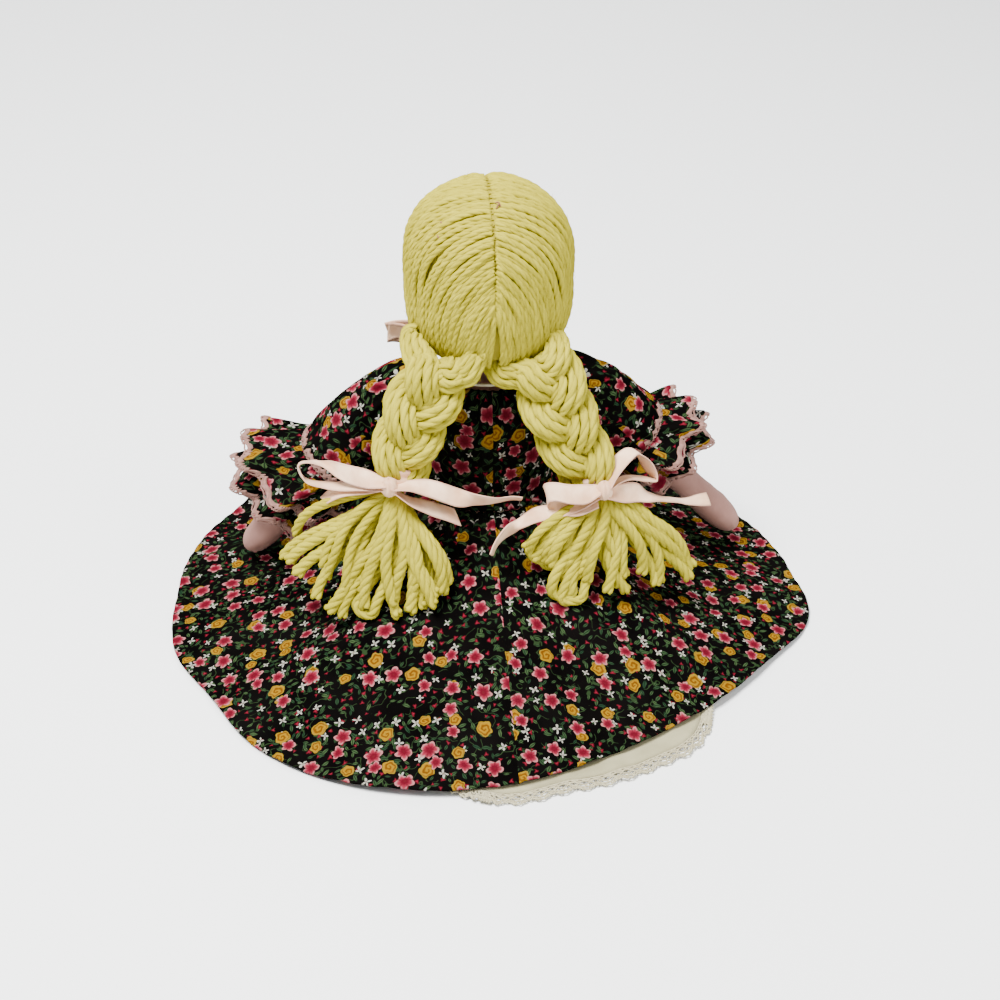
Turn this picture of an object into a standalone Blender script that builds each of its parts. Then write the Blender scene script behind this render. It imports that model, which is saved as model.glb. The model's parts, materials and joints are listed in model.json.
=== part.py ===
"""A seated cloth doll with yarn plaits, a gathered floral dress, petticoat and drawers.

The doll sits on the floor at the origin and looks along -Y, with its legs forward. +X is its left.
"""

import math

import bmesh
import bpy
from mathutils import Matrix, Vector

MM = 0.001
SIDES = {"left": 1, "right": -1}

# Cloth, clearances and how finely limbs and threads are made
CLOTH = 0.8 * MM
LIMB_SIDES = 16
THREAD_SIDES = 8
GAP = 0.3 * MM
LAYER_GAP = 0.5 * MM
PETTICOAT_GAP = 1.2 * MM
OVERRUN = 2 * MM

# Stuffed torso. Each row of shares: height, half width, half depth.
TORSO_HEIGHT = 106 * MM
HIP_HALF_WIDTH = 35 * MM
HIP_HALF_DEPTH = 26.5 * MM
TORSO_SHARES = (
    (0.0, 0.83, 0.79), (0.05, 0.95, 0.94), (0.14, 1.0, 1.0), (0.25, 0.97, 0.95), (0.36, 0.83, 0.81),
    (0.46, 0.69, 0.68), (0.58, 0.71, 0.69), (0.73, 0.73, 0.7), (0.85, 0.73, 0.66),
    (0.915, 0.67, 0.58), (0.96, 0.49, 0.47), (1.0, 0.29, 0.35),
)
NECK_BALL = 10.5 * MM
NECK_HEIGHT = 112 * MM

# Dress bodice and the lace at its neck
BODICE_BOTTOM_SHARE = 0.475
BODICE_TOP_SHARE = 0.965
COLLAR_SHARE = 0.976
COLLAR_FLARE = 4.5 * MM
COLLAR_RISE = 2.2 * MM

# Head and hair. Each row of shares: height, radius.
HEAD_BOTTOM = 116.5 * MM
HAIR_HEIGHT = 67 * MM
HAIR_RADIUS = 31.5 * MM
HAIR_THICKNESS = 3 * MM
HEAD_SHARES = (
    (0.0, 0.55), (0.045, 0.8), (0.12, 0.93), (0.25, 0.99), (0.42, 1.0), (0.58, 0.985), (0.71, 0.93),
    (0.82, 0.81), (0.91, 0.62), (0.97, 0.37), (1.0, 0.12),
)
FACE_OPENING_HALF_WIDTH = 25 * MM
FACE_OPENING_HALF_HEIGHT = 31 * MM
FACE_OPENING_HALF_DEPTH = 26 * MM
FACE_OPENING_HEIGHT = 137 * MM
EYE_SPREAD = 9.5 * MM
EYE_RISE = 6 * MM
EYE_HALF_WIDTH = 1.9 * MM
EYE_HALF_HEIGHT = 2.7 * MM
EYE_HALF_DEPTH = 0.8 * MM
MOUTH_FALL = 5.5 * MM
MOUTH_HALF_WIDTH = 5 * MM
MOUTH_DROP = 1.6 * MM
MOUTH_THREAD = 0.7 * MM
MOUTH_STEPS = 6

# Plaits, tassels and their ribbon bows, by side. Each row of shares: place along it, half width, half depth.
PLAIT_PIVOT = {"left": (21 * MM, 27 * MM, 119 * MM), "right": (-19 * MM, 27 * MM, 119 * MM)}
PLAIT_BOW_SHARE = {"left": 0.12, "right": -0.1}
PLAIT_HUB_RADIUS = 8.5 * MM
PLAIT_HUB_HALF_WIDTH = 9.5 * MM
PLAIT_BULGE_HALF_WIDTH = 13 * MM
PLAIT_BULGE_HALF_DEPTH = 8.5 * MM
PLAIT_WAIST = 5.8 * MM
TIE = {"left": (38 * MM, 37 * MM, 80 * MM), "right": (-38 * MM, 38 * MM, 73 * MM)}
PLAIT_SHARES = (
    (0.0, 0.75, 0.85), (0.22, 0.97, 0.97), (0.45, 1.0, 1.0), (0.66, 0.88, 0.95), (0.8, 0.62, 0.82),
)
PLAIT_END_SHARE = 0.9
TASSEL_TIP = {"left": (45 * MM, 56 * MM, 34 * MM), "right": (-45 * MM, 55 * MM, 34 * MM)}
TASSEL_HALF_WIDTH = {"left": 31 * MM, "right": 35 * MM}
TASSEL_HALF_DEPTH = 7.5 * MM
TASSEL_SHARES = (
    (0.2, 0.34, 0.66), (0.38, 0.6, 0.8), (0.64, 0.88, 0.9), (0.86, 1.0, 0.72), (0.97, 0.92, 0.4),
)
TASSEL_SWEEP_SHARE = {"left": 0.4, "right": -0.2}
RIBBON_WIDTH = 7.5 * MM
RIBBON_THICKNESS = 1 * MM
LOOP_THICKNESS = 3.2 * MM
KNOT_RADIUS = 4 * MM
TAIL_ARCH = 6 * MM
BAND_WALL = 1 * MM
RIBBON_SHARES = ((0.0, 0.5), (0.25, 0.9), (0.5, 1.0), (0.8, 1.0))
LOOP_END_SHARE = 0.7
NECK_LOOP_END_SHARE = 1.2

# The ends of each bow's loops and tails
BOW_LOOPS = {
    "left": ((74 * MM, 27 * MM, 79 * MM),),
    "right": ((-60 * MM, 35 * MM, 84 * MM), (-21 * MM, 46 * MM, 74 * MM)),
}
BOW_TAILS = {
    "left": ((-9 * MM, 40 * MM, 68 * MM), (17 * MM, 46 * MM, 62 * MM)),
    "right": ((-86 * MM, 24 * MM, 57 * MM), (0, 53 * MM, 56 * MM)),
}
NECK_BOW_LOOP = (36 * MM, -27 * MM, 110 * MM)
NECK_BOW_TAIL = (13 * MM, -25 * MM, 78 * MM)
NECK_BOW_KNOT_HEIGHT = 100 * MM

# Arms. The shares run from the shoulder to the tip of the hand.
SHOULDER = (33 * MM, 0, 98 * MM)
HAND_TIP = {"left": (100 * MM, -20 * MM, 13 * MM), "right": (-107 * MM, -18 * MM, 13.5 * MM)}
ARM_BALL = 10 * MM
ROOT_SHARE = 0.98
ARM_RADIUS_SHARES = (
    (0.0, 1.0), (0.12, 0.99), (0.3, 0.86), (0.5, 0.76), (0.7, 0.68), (0.78, 0.72), (0.87, 0.78),
    (0.94, 0.66), (0.985, 0.4), (1.0, 0.2),
)
HAND_START_SHARE = 0.7
HAND_FLATNESS_SHARE = 0.72
SLEEVE_START = 3 * MM
SLEEVE_START_RADIUS = 11.2 * MM
SLEEVE_PUFF_RADIUS = 16 * MM
SLEEVE_END_SHARE = {"left": 0.42, "right": 0.33}
SLEEVE_SHARES = ((0.0, 0.0), (0.12, 0.22), (0.3, 0.55), (0.55, 0.9), (0.8, 1.0), (1.0, 0.92))
FLOUNCE_LIFT = {"left": 10 * MM, "right": 7 * MM}
FLOUNCE_STEP_SHARES = (0, 0.2, 0.55, 1)
INNER_LIFT_SHARE = 0.9
RUFFLE_DEPTH = 2.2 * MM
RUFFLES = 8
RUFFLE_STEPS = 32
OUTER_FLOUNCE_RADIUS = {"left": 26 * MM, "right": 23 * MM}
INNER_FLOUNCE_RADIUS = {"left": 22 * MM, "right": 19 * MM}
OUTER_FLOUNCE_SHARE = {"left": 0.17, "right": 0.1}
INNER_FLOUNCE_SHARE = {"left": 0.29, "right": 0.2}
TRIM_WIDTH = 3 * MM
TRIM_THICKNESS = 1 * MM

# Legs, drawers legs and shoes
HIP = (18 * MM, -25 * MM, 13 * MM)
THIGH_BALL = 11.5 * MM
LEG_LENGTH = 94 * MM
LEG_SPLAY = 6 * MM
ANKLE_HEIGHT = 11.3 * MM
LEG_SHARES = ((0.0, 1.0), (0.2, 0.98), (0.45, 0.86), (0.55, 0.84), (0.7, 0.8), (0.9, 0.65), (1.0, 0.61))
DRAWERS_LEG_START = 3 * MM
DRAWERS_LEG_SHARE = 0.52
CUFF_STEP_SHARES = (0, 0.3, 0.6, 1)
DRAWERS_TOP_SHARE = 0.38
SHOE_HALF_WIDTH = 8.5 * MM
SHOE_HALF_DEPTH = 8.5 * MM
SHOE_HEIGHT = 29 * MM
SHOE_SHARES = (
    (0.0, 0.55, 0.55), (0.12, 0.85, 0.85), (0.35, 1.0, 1.0), (0.65, 0.95, 0.9), (0.88, 0.7, 0.6),
    (1.0, 0.35, 0.25),
)

# Skirt and petticoat. Hem shares are taken every 15 degrees from +X, through +Y at the back.
WAIST_HEIGHT = 49.5 * MM
SKIRT_REACH = 130 * MM
HEM_SHARES = (
    1.0, 1.03, 1.015, 1.058, 1.066, 1.045, 1.0, 0.945, 0.92, 0.925, 0.955, 1.025,
    0.985, 0.955, 0.92, 0.905, 0.905, 0.905, 0.905, 0.905, 0.915, 0.945, 0.975, 0.995,
)
SIDE_PROFILE_SHARES = (
    (0.0, 1.0), (0.05, 0.93), (0.18, 0.57), (0.32, 0.36), (0.5, 0.22), (0.69, 0.13), (0.85, 0.06),
    (1.0, 0.0),
)
BACK_PROFILE_SHARES = (
    (0.0, 1.0), (0.1, 0.94), (0.23, 0.76), (0.37, 0.6), (0.46, 0.5), (0.59, 0.36), (0.73, 0.23),
    (0.88, 0.09), (1.0, 0.0),
)
FRONT_PROFILE_SHARES = (
    (0.0, 1.0), (0.1, 0.93), (0.23, 0.81), (0.37, 0.74), (0.5, 0.69), (0.62, 0.64), (0.75, 0.59),
    (0.88, 0.53), (1.0, 0.48),
)
SKIRT_ROW_SHARES = (0.0, 0.05, 0.12, 0.22, 0.34, 0.47, 0.6, 0.73, 0.86, 1.0)
FRONT_WINDOW = (32, 58)
BACK_WINDOW = (40, 85)
SKIRT_STEPS = 45
SKIRT_FOLDS = 9
FOLD_DEPTH = 1.5 * MM
PEEK_WINDOW = (66, 94, 118, 144)
LIFT_WINDOW = (50, 72, 144, 162)
HEM_LIFT = 2.4 * MM
PETTICOAT_INSET = 19 * MM
PETTICOAT_PEEK = 29 * MM
PETTICOAT_EDGE_SHARES = (0.34, 0.78, 1)
LACE_WIDTH = 7 * MM
LACE_FLOAT = 0.4 * MM

COLOURS = {
    "print_cotton": ((0.035, 0.03, 0.035), 0.85),
    "body_cloth": ((0.43, 0.22, 0.2), 0.9),
    "white_cotton": ((0.82, 0.78, 0.68), 0.9),
    "lace": ((0.85, 0.81, 0.7), 0.85),
    "yarn": ((0.83, 0.74, 0.36), 0.95),
    "ribbon": ((0.78, 0.52, 0.48), 0.4),
    "picot_trim": ((0.68, 0.4, 0.4), 0.8),
    "eye_thread": ((0.05, 0.1, 0.2), 0.6),
    "mouth_thread": ((0.6, 0.1, 0.12), 0.6),
    "shoe_felt": ((0.05, 0.045, 0.05), 0.8),
}


def clear_scene():
    for obj in list(bpy.data.objects):
        bpy.data.objects.remove(obj)


def collection(name):
    made = bpy.data.collections.new(name)
    bpy.context.scene.collection.children.link(made)
    return made


def material(name):
    """One Principled material per sub-part, so that each can be changed alone."""
    colour, roughness = COLOURS[name]
    made = bpy.data.materials.new(name)
    made.use_nodes = True
    shader = made.node_tree.nodes["Principled BSDF"]
    shader.inputs["Base Color"].default_value = (*colour, 1)
    shader.inputs["Roughness"].default_value = roughness
    shader.inputs["Metallic"].default_value = 0
    return made


def place(name, mesh, finish=None, pivot=None):
    """The mesh as a visible sub-part, or as a hidden cutter where it has no finish."""
    obj = bpy.data.objects.new(name, mesh)
    if finish is None:
        cutters.objects.link(obj)
        obj.hide_render = True
        obj.display_type = "WIRE"
        return obj
    parts.objects.link(obj)
    mesh.materials.append(material(finish))
    mesh.shade_smooth()
    mesh.set_sharp_from_angle(angle=math.radians(50))
    if pivot is not None:
        obj.parent = pivot
        obj.matrix_parent_inverse = pivot.matrix_world.inverted()
    return obj


def empty(name, at):
    made = bpy.data.objects.new(name, None)
    parts.objects.link(made)
    made.matrix_world = Matrix.Translation(at)
    return made


def mesh_from(shape, name):
    bmesh.ops.recalc_face_normals(shape, faces=shape.faces)
    mesh = bpy.data.meshes.new(name)
    shape.to_mesh(mesh)
    shape.free()
    return mesh


def loft(name, rings, capped=True):
    """A skin through the rings in turn; each ring is a list of as many points."""
    shape = bmesh.new()
    rows = [[shape.verts.new(point) for point in ring] for ring in rings]
    count = len(rows[0])
    for low, high in zip(rows, rows[1:]):
        for i in range(count):
            j = (i + 1) % count
            shape.faces.new((low[i], low[j], high[j], high[i]))
    if capped:
        shape.faces.new(rows[0])
        shape.faces.new(rows[-1])
    return mesh_from(shape, name)


def ellipse(centre, across, along, count):
    """Points round an ellipse with these two half axes."""
    turns = (2 * math.pi * i / count for i in range(count))
    return [Vector(centre) + Vector(across) * math.cos(a) + Vector(along) * math.sin(a) for a in turns]


def table(shares, at):
    """The value beside a share, on a smooth line through the rows."""
    rows = list(shares)
    if at <= rows[0][0]:
        return rows[0][1]
    for i, (low, high) in enumerate(zip(rows, rows[1:])):
        if at <= high[0]:
            before = rows[i - 1] if i else low
            after = rows[i + 2] if i + 2 < len(rows) else high
            span = high[0] - low[0]
            t = (at - low[0]) / span
            rise = span * (high[1] - before[1]) / (high[0] - before[0])
            fall = span * (after[1] - low[1]) / (after[0] - low[0])
            return (
                low[1] * (2 * t**3 - 3 * t**2 + 1) + rise * (t**3 - 2 * t**2 + t)
                + high[1] * (3 * t**2 - 2 * t**3) + fall * (t**3 - t**2)
            )
    return rows[-1][1]


def smooth(at, low, high):
    """0 below low, 1 above high, and a soft step between."""
    t = min(1, max(0, (at - low) / (high - low)))
    return t * t * (3 - 2 * t)


def sphere(name, centre, radius, steps=18):
    shape = bmesh.new()
    bmesh.ops.create_uvsphere(shape, u_segments=steps, v_segments=steps // 2, radius=radius)
    bmesh.ops.translate(shape, verts=shape.verts, vec=centre)
    return mesh_from(shape, name)


def cylinder(name, start, end, radius, steps=18):
    start = Vector(start)
    run = Vector(end) - start
    shape = bmesh.new()
    bmesh.ops.create_cone(
        shape, cap_ends=True, segments=steps, radius1=radius, radius2=radius, depth=run.length
    )
    turn = run.to_track_quat("Z", "X").to_matrix().to_4x4()
    bmesh.ops.transform(shape, matrix=Matrix.Translation(start + run / 2) @ turn, verts=shape.verts)
    return mesh_from(shape, name)


def combine(target, operation, mesh, name):
    helper = place(name, mesh)
    modifier = target.modifiers.new(name, "BOOLEAN")
    modifier.operation = operation
    modifier.object = helper
    modifier.solver = "EXACT"


def cut(target, mesh, name):
    combine(target, "DIFFERENCE", mesh, name)


def join(target, mesh, name):
    combine(target, "UNION", mesh, name)


def thicken(obj, thickness, outward):
    modifier = obj.modifiers.new("cloth", "SOLIDIFY")
    modifier.thickness = thickness
    modifier.offset = 1 if outward else -1
    modifier.use_even_offset = False


def side_of(side, place_on_left):
    """A place on the left, mirrored for the right side."""
    x, y, z = place_on_left
    return Vector((SIDES[side] * x, y, z))


# Torso, bodice and drawers


def torso_reach(share):
    """Half the torso's width and depth at a share of its height."""
    width = table([(row[0], row[1]) for row in TORSO_SHARES], share) * HIP_HALF_WIDTH
    depth = table([(row[0], row[2]) for row in TORSO_SHARES], share) * HIP_HALF_DEPTH
    return width, depth


def torso_ring(share, grown, count=22):
    """The torso's outline at a share of its height, grown sideways by a clearance."""
    width, depth = (reach + grown for reach in torso_reach(share))
    floor = CLOTH + GAP
    height = floor + share * (TORSO_HEIGHT - floor)
    return ellipse((0, 0, height), (width, 0, 0), (0, depth, 0), count)


def torso_shares(low, high):
    inside = [row[0] for row in TORSO_SHARES if low < row[0] < high]
    return [low, *inside, high]


def make_torso():
    torso = place("torso", loft("torso", [torso_ring(row[0], 0) for row in TORSO_SHARES]), "body_cloth")
    join(torso, sphere("neck_ball", (0, 0, NECK_HEIGHT), NECK_BALL), "neck_ball")
    for side in SIDES:
        cut(torso, sphere("arm_seat", side_of(side, SHOULDER), ARM_BALL + GAP), "arm_seat_" + side)
        cut(torso, sleeve_space(side), "sleeve_space_" + side)
        cut_hip(torso, side, THIGH_BALL + GAP)


def cut_hip(target, side, radius):
    """Room for a thigh's ball and, below it, for the leg turned down."""
    hip = side_of(side, HIP)
    cut(target, sphere("hip_seat", hip, radius), target.name + "_hip_seat_" + side)
    below = Vector((hip.x, hip.y, -OVERRUN))
    room = THIGH_BALL + CLOTH + 2 * LAYER_GAP
    cut(target, cylinder("leg_space", hip, below, room), target.name + "_leg_space_" + side)


def make_bodice():
    rings = [torso_ring(s, LAYER_GAP) for s in torso_shares(BODICE_BOTTOM_SHARE, BODICE_TOP_SHARE)]
    bodice = place("bodice", loft("bodice", rings, capped=False), "print_cotton")
    thicken(bodice, CLOTH, outward=True)
    for side in SIDES:
        armhole = math.hypot(SLEEVE_START, SLEEVE_START_RADIUS) + GAP
        cut(bodice, sphere("armhole", side_of(side, SHOULDER), armhole), "armhole_" + side)
        cut(bodice, sleeve_space(side), "bodice_sleeve_space_" + side)


def make_drawers():
    """The seat of the drawers: a cup round the hips with a flat bottom."""
    shares = torso_shares(0, DRAWERS_TOP_SHARE)
    bottom = [Vector((p.x, p.y, 0)) for p in torso_ring(0, LAYER_GAP + CLOTH)]
    outer = [bottom] + [torso_ring(s, LAYER_GAP + CLOTH) for s in shares]
    drawers = place("drawers", loft("drawers", outer), "white_cotton")
    top = [p + Vector((0, 0, OVERRUN)) for p in torso_ring(DRAWERS_TOP_SHARE, LAYER_GAP)]
    inside = [[p - Vector((0, 0, GAP)) for p in torso_ring(0, LAYER_GAP)]]
    inside += [torso_ring(s, LAYER_GAP) for s in shares[1:]] + [top]
    cut(drawers, loft("drawers_inside", inside), "drawers_inside")
    for side in SIDES:
        rim = math.hypot(DRAWERS_LEG_START, THIGH_BALL + LAYER_GAP + CLOTH)
        cut_hip(drawers, side, rim + GAP)


def make_collar():
    """A narrow lace frill that stands round the neck."""
    rings = []
    for share in (0, 0.5, 1):
        rise = Vector((0, 0, COLLAR_RISE * math.sin(math.pi / 2 * share)))
        ring = torso_ring(COLLAR_SHARE, LAYER_GAP + COLLAR_FLARE * share)
        rings.append([point + rise for point in ring])
    collar = place("collar_lace", loft("collar_lace", rings, capped=False), "lace")
    thicken(collar, CLOTH, outward=False)


# Skirt, petticoat and petticoat lace


def around(shares, degrees):
    """The value at an angle on a smooth ring through evenly spaced shares."""
    count = len(shares)
    spot = (degrees % 360) / 360 * count
    i = int(spot)
    t = spot - i
    a, b, c, d = (shares[(i + k) % count] for k in (-1, 0, 1, 2))
    return b + 0.5 * t * (c - a + t * (2 * a - 5 * b + 4 * c - d + t * (3 * (b - c) + d - a)))


def window(degrees, facing, inner, outer):
    """1 near the facing angle and 0 away from it."""
    off = abs((degrees - facing + 180) % 360 - 180)
    return 1 - smooth(off, inner, outer)


def hem_radius(degrees):
    return SKIRT_REACH * around(HEM_SHARES, degrees)


def waist_radius(degrees):
    width, depth = torso_reach(BODICE_BOTTOM_SHARE)
    angle = math.radians(degrees)
    return 1 / math.hypot(math.cos(angle) / width, math.sin(angle) / depth) + LAYER_GAP + CLOTH


def peek(degrees):
    """1 where the petticoat shows past the dress hem, at the back on the doll's right."""
    rise_from, rise_to, fall_from, fall_to = PEEK_WINDOW
    return smooth(degrees % 360, rise_from, rise_to) * (1 - smooth(degrees % 360, fall_from, fall_to))


def skirt_height(degrees, radius):
    """The height of the skirt's upper face."""
    inner = waist_radius(degrees)
    share = min(1, (radius - inner) / (hem_radius(degrees) - inner))
    front = window(degrees, -90, *FRONT_WINDOW)
    back = window(degrees, 90, *BACK_WINDOW) * (1 - front)
    rise = (
        front * table(FRONT_PROFILE_SHARES, share)
        + back * table(BACK_PROFILE_SHARES, share)
        + (1 - front - back) * table(SIDE_PROFILE_SHARES, share)
    )
    rise_from, rise_to, fall_from, fall_to = LIFT_WINDOW
    lift = smooth(degrees % 360, rise_from, rise_to) * (1 - smooth(degrees % 360, fall_from, fall_to))
    hem = CLOTH + HEM_LIFT * lift
    fold = FOLD_DEPTH * math.sin(math.pi * share) ** 2 * math.cos(math.radians(SKIRT_FOLDS * (degrees - 90)))
    return hem + rise * (WAIST_HEIGHT - hem) + fold


def skirt_point(degrees, radius, below=0):
    """A point of the skirt's upper face, or one that far beneath it, square to the cloth."""
    angle = math.radians(degrees)
    out = Vector((math.cos(angle), math.sin(angle), 0))
    step = CLOTH
    slope = (skirt_height(degrees, radius + step) - skirt_height(degrees, radius - step)) / (2 * step)
    point = out * radius + Vector((0, 0, skirt_height(degrees, radius)))
    return point - (Vector((0, 0, 1)) - out * slope).normalized() * below


def polar_sheet(name, radii, below):
    """A ring of cloth through these radii, each a rule of the angle, at a depth beneath the skirt's face."""
    rings = []
    for radius in radii:
        ring = []
        for i in range(SKIRT_STEPS):
            degrees = 360 * i / SKIRT_STEPS
            point = skirt_point(degrees, radius(degrees), below)
            point.z = max(point.z, LACE_FLOAT + CLOTH if below else 0)
            ring.append(point)
        rings.append(ring)
    shape = loft(name, rings, capped=False)
    shape.update()
    if sum(face.normal.z for face in shape.polygons) < 0:
        shape.flip_normals()
    return shape


def petticoat_radius(degrees):
    return hem_radius(degrees) - PETTICOAT_INSET + PETTICOAT_PEEK * peek(degrees)


def lace_radius(degrees):
    return petticoat_radius(degrees) + LACE_WIDTH


def between(inner, outer, share):
    """A rule for the radius at a share of the way between two others."""
    return lambda degrees: inner(degrees) + share * (outer(degrees) - inner(degrees))


def shifted(rule, distance):
    return lambda degrees: rule(degrees) + distance


def make_skirts():
    rows = [between(waist_radius, hem_radius, share) for share in SKIRT_ROW_SHARES]
    thicken(place("skirt", polar_sheet("skirt", rows, 0), "print_cotton"), CLOTH, outward=False)

    depth = CLOTH + PETTICOAT_GAP
    shared = rows[2:-2]
    last = [between(shared[-1], petticoat_radius, share) for share in PETTICOAT_EDGE_SHARES]
    petticoat = polar_sheet("petticoat", shared + last, depth)
    thicken(place("petticoat", petticoat, "white_cotton"), CLOTH, outward=False)

    lace = polar_sheet("petticoat_lace", [shifted(petticoat_radius, GAP), lace_radius], depth)
    thicken(place("petticoat_lace", lace, "lace"), CLOTH, outward=False)


# Head, hair and face


def head_ring(share, inset, count=22):
    radius = max(table(HEAD_SHARES, share) * HAIR_RADIUS - inset, GAP)
    height = HEAD_BOTTOM + share * HAIR_HEIGHT
    if inset:
        low, high = HEAD_BOTTOM + GAP, HEAD_BOTTOM + HAIR_HEIGHT - inset
        height = low + share * (high - low)
    return ellipse((0, 0, height), (radius, 0, 0), (0, radius, 0), count)


def face_place(x, height, lift):
    """A point on the face at this height, lifted off it by a clearance, and the way it faces."""
    inset = HAIR_THICKNESS + GAP
    share = (height - HEAD_BOTTOM - GAP) / (HAIR_HEIGHT - inset - GAP)
    radius = table(HEAD_SHARES, share) * HAIR_RADIUS - inset
    out = Vector((x, -math.sqrt(radius**2 - x**2), 0)).normalized()
    return out * (radius + lift) + Vector((0, 0, height)), out


def make_head(pivot):
    inset = HAIR_THICKNESS + GAP
    rings = [head_ring(row[0], inset) for row in HEAD_SHARES]
    head = place("head", loft("head", rings), "body_cloth", pivot)
    neck = Vector((0, 0, NECK_HEIGHT))
    cut(head, sphere("neck_socket", neck, NECK_BALL + GAP), "neck_socket")
    hair_rings = [head_ring(row[0], 0) for row in HEAD_SHARES]
    hair = place("hair_cap", loft("hair_cap", hair_rings), "yarn", pivot)
    grown = [head_ring(row[0], HAIR_THICKNESS) for row in HEAD_SHARES]
    lowest = [p - Vector((0, 0, OVERRUN)) for p in grown[0]]
    cut(hair, loft("hair_inside", [lowest, *grown]), "hair_inside")
    opening = sphere("face_opening", (0, 0, 0), 1)
    opening.transform(
        Matrix.Translation((0, -HAIR_RADIUS, FACE_OPENING_HEIGHT))
        @ Matrix.Diagonal((FACE_OPENING_HALF_WIDTH, FACE_OPENING_HALF_DEPTH, FACE_OPENING_HALF_HEIGHT, 1))
    )
    cut(hair, opening, "face_opening")
    for side in SIDES:
        root = Vector(PLAIT_PIVOT[side])
        reach = Vector((PLAIT_HUB_HALF_WIDTH + GAP, 0, 0))
        seat = cylinder("plait_seat", root - reach, root + reach, PLAIT_HUB_RADIUS + GAP)
        cut(hair, seat, "hair_plait_seat_" + side)
        cut(head, seat.copy(), "head_plait_seat_" + side)
    make_face(pivot)


def make_face(pivot):
    """Embroidered eyes and mouth, raised a little from the cloth."""
    for side, sign in SIDES.items():
        at, out = face_place(sign * EYE_SPREAD, FACE_OPENING_HEIGHT + EYE_RISE, EYE_HALF_DEPTH + 2 * GAP)
        eye = sphere("eye_" + side, (0, 0, 0), 1, 10)
        turn = out.to_track_quat("Y", "Z").to_matrix().to_4x4()
        size = Matrix.Diagonal((EYE_HALF_WIDTH, EYE_HALF_DEPTH, EYE_HALF_HEIGHT, 1))
        eye.transform(Matrix.Translation(at) @ turn @ size)
        place("eye_" + side, eye, "eye_thread", pivot)
    rings = []
    for i in range(MOUTH_STEPS + 1):
        share = 2 * i / MOUTH_STEPS - 1
        height = FACE_OPENING_HEIGHT - MOUTH_FALL + MOUTH_DROP * (share**2 - 1)
        at, out = face_place(share * MOUTH_HALF_WIDTH, height, MOUTH_THREAD + GAP)
        rings.append(ellipse(at, out * MOUTH_THREAD, Vector((0, 0, MOUTH_THREAD)), THREAD_SIDES))
    place("mouth", loft("mouth", rings), "mouth_thread", pivot)


# Plaits, tassels and bows


def swept(name, rows, wide, count=16):
    """A rod through rows of place, half width and half depth, its width along the wide direction."""
    rings = []
    for i, (at, width, depth) in enumerate(rows):
        before = rows[max(i - 1, 0)][0]
        after = rows[min(i + 1, len(rows) - 1)][0]
        run = (Vector(after) - Vector(before)).normalized()
        across = (Vector(wide) - run * run.dot(Vector(wide))).normalized()
        rings.append(ellipse(at, across * width, run.cross(across) * depth, count))
    return loft(name, rings)


def plait_line(side, share):
    """The middle of a plait, which bows outward a little between its root and its tie."""
    root, tie = Vector(PLAIT_PIVOT[side]), Vector(TIE[side])
    bow = PLAIT_BOW_SHARE[side] * (tie.x - root.x)
    return root.lerp(tie, share) + Vector((bow * math.sin(math.pi * share), 0, 0))


def make_plait(side, pivot):
    rows = [
        (plait_line(side, share), width * PLAIT_BULGE_HALF_WIDTH, depth * PLAIT_BULGE_HALF_DEPTH)
        for share, width, depth in PLAIT_SHARES
    ]
    tie = Vector(TIE[side])
    run = (Vector(TASSEL_TIP[side]) - plait_line(side, PLAIT_END_SHARE)).normalized()
    for reach in (RIBBON_WIDTH / 2 + KNOT_RADIUS / 2, RIBBON_WIDTH / 2, GAP / 2):
        rows.append((tie - run * reach, PLAIT_WAIST, PLAIT_WAIST))
    plait = place("plait_" + side, swept("plait_" + side, rows, (1, 0, 0)), "yarn", pivot)
    root = Vector(PLAIT_PIVOT[side])
    reach = Vector((PLAIT_HUB_HALF_WIDTH, 0, 0))
    join(plait, cylinder("plait_hub", root - reach, root + reach, PLAIT_HUB_RADIUS), "plait_hub_" + side)
    make_tassel(side, pivot, tie, run)
    make_bow(side, pivot, tie, run)


def make_tassel(side, pivot, tie, run):
    """The loose ends below the tie, as one fan that spreads over the skirt."""
    tip = Vector(TASSEL_TIP[side])
    width = TASSEL_HALF_WIDTH[side]
    start = tie + run * GAP / 2
    straight = (0, RIBBON_WIDTH / 2, RIBBON_WIDTH / 2 + KNOT_RADIUS / 4)
    rows = [(start + run * reach, PLAIT_WAIST, PLAIT_WAIST) for reach in straight]
    rows += [
        (start.lerp(tip, share), half * width, deep * TASSEL_HALF_DEPTH)
        for share, half, deep in TASSEL_SHARES
    ]
    wide = (1, -TASSEL_SWEEP_SHARE[side], 0)
    place("tassel_" + side, swept("tassel_" + side, rows, wide, 18), "yarn", pivot)


def strip(name, start, end, half_width, half_depth, wide, end_share=1, arch=0):
    """One ribbon end: narrow at the knot, full in the middle, arched backward by a distance."""
    start, end = Vector(start), Vector(end)
    rows = []
    for share, size in (*RIBBON_SHARES, (1, end_share)):
        back = Vector((0, arch * math.sin(math.pi * share), 0))
        rows.append((start.lerp(end, share) + back, half_width * size, half_depth))
    return swept(name, rows, wide, 8)


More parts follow.
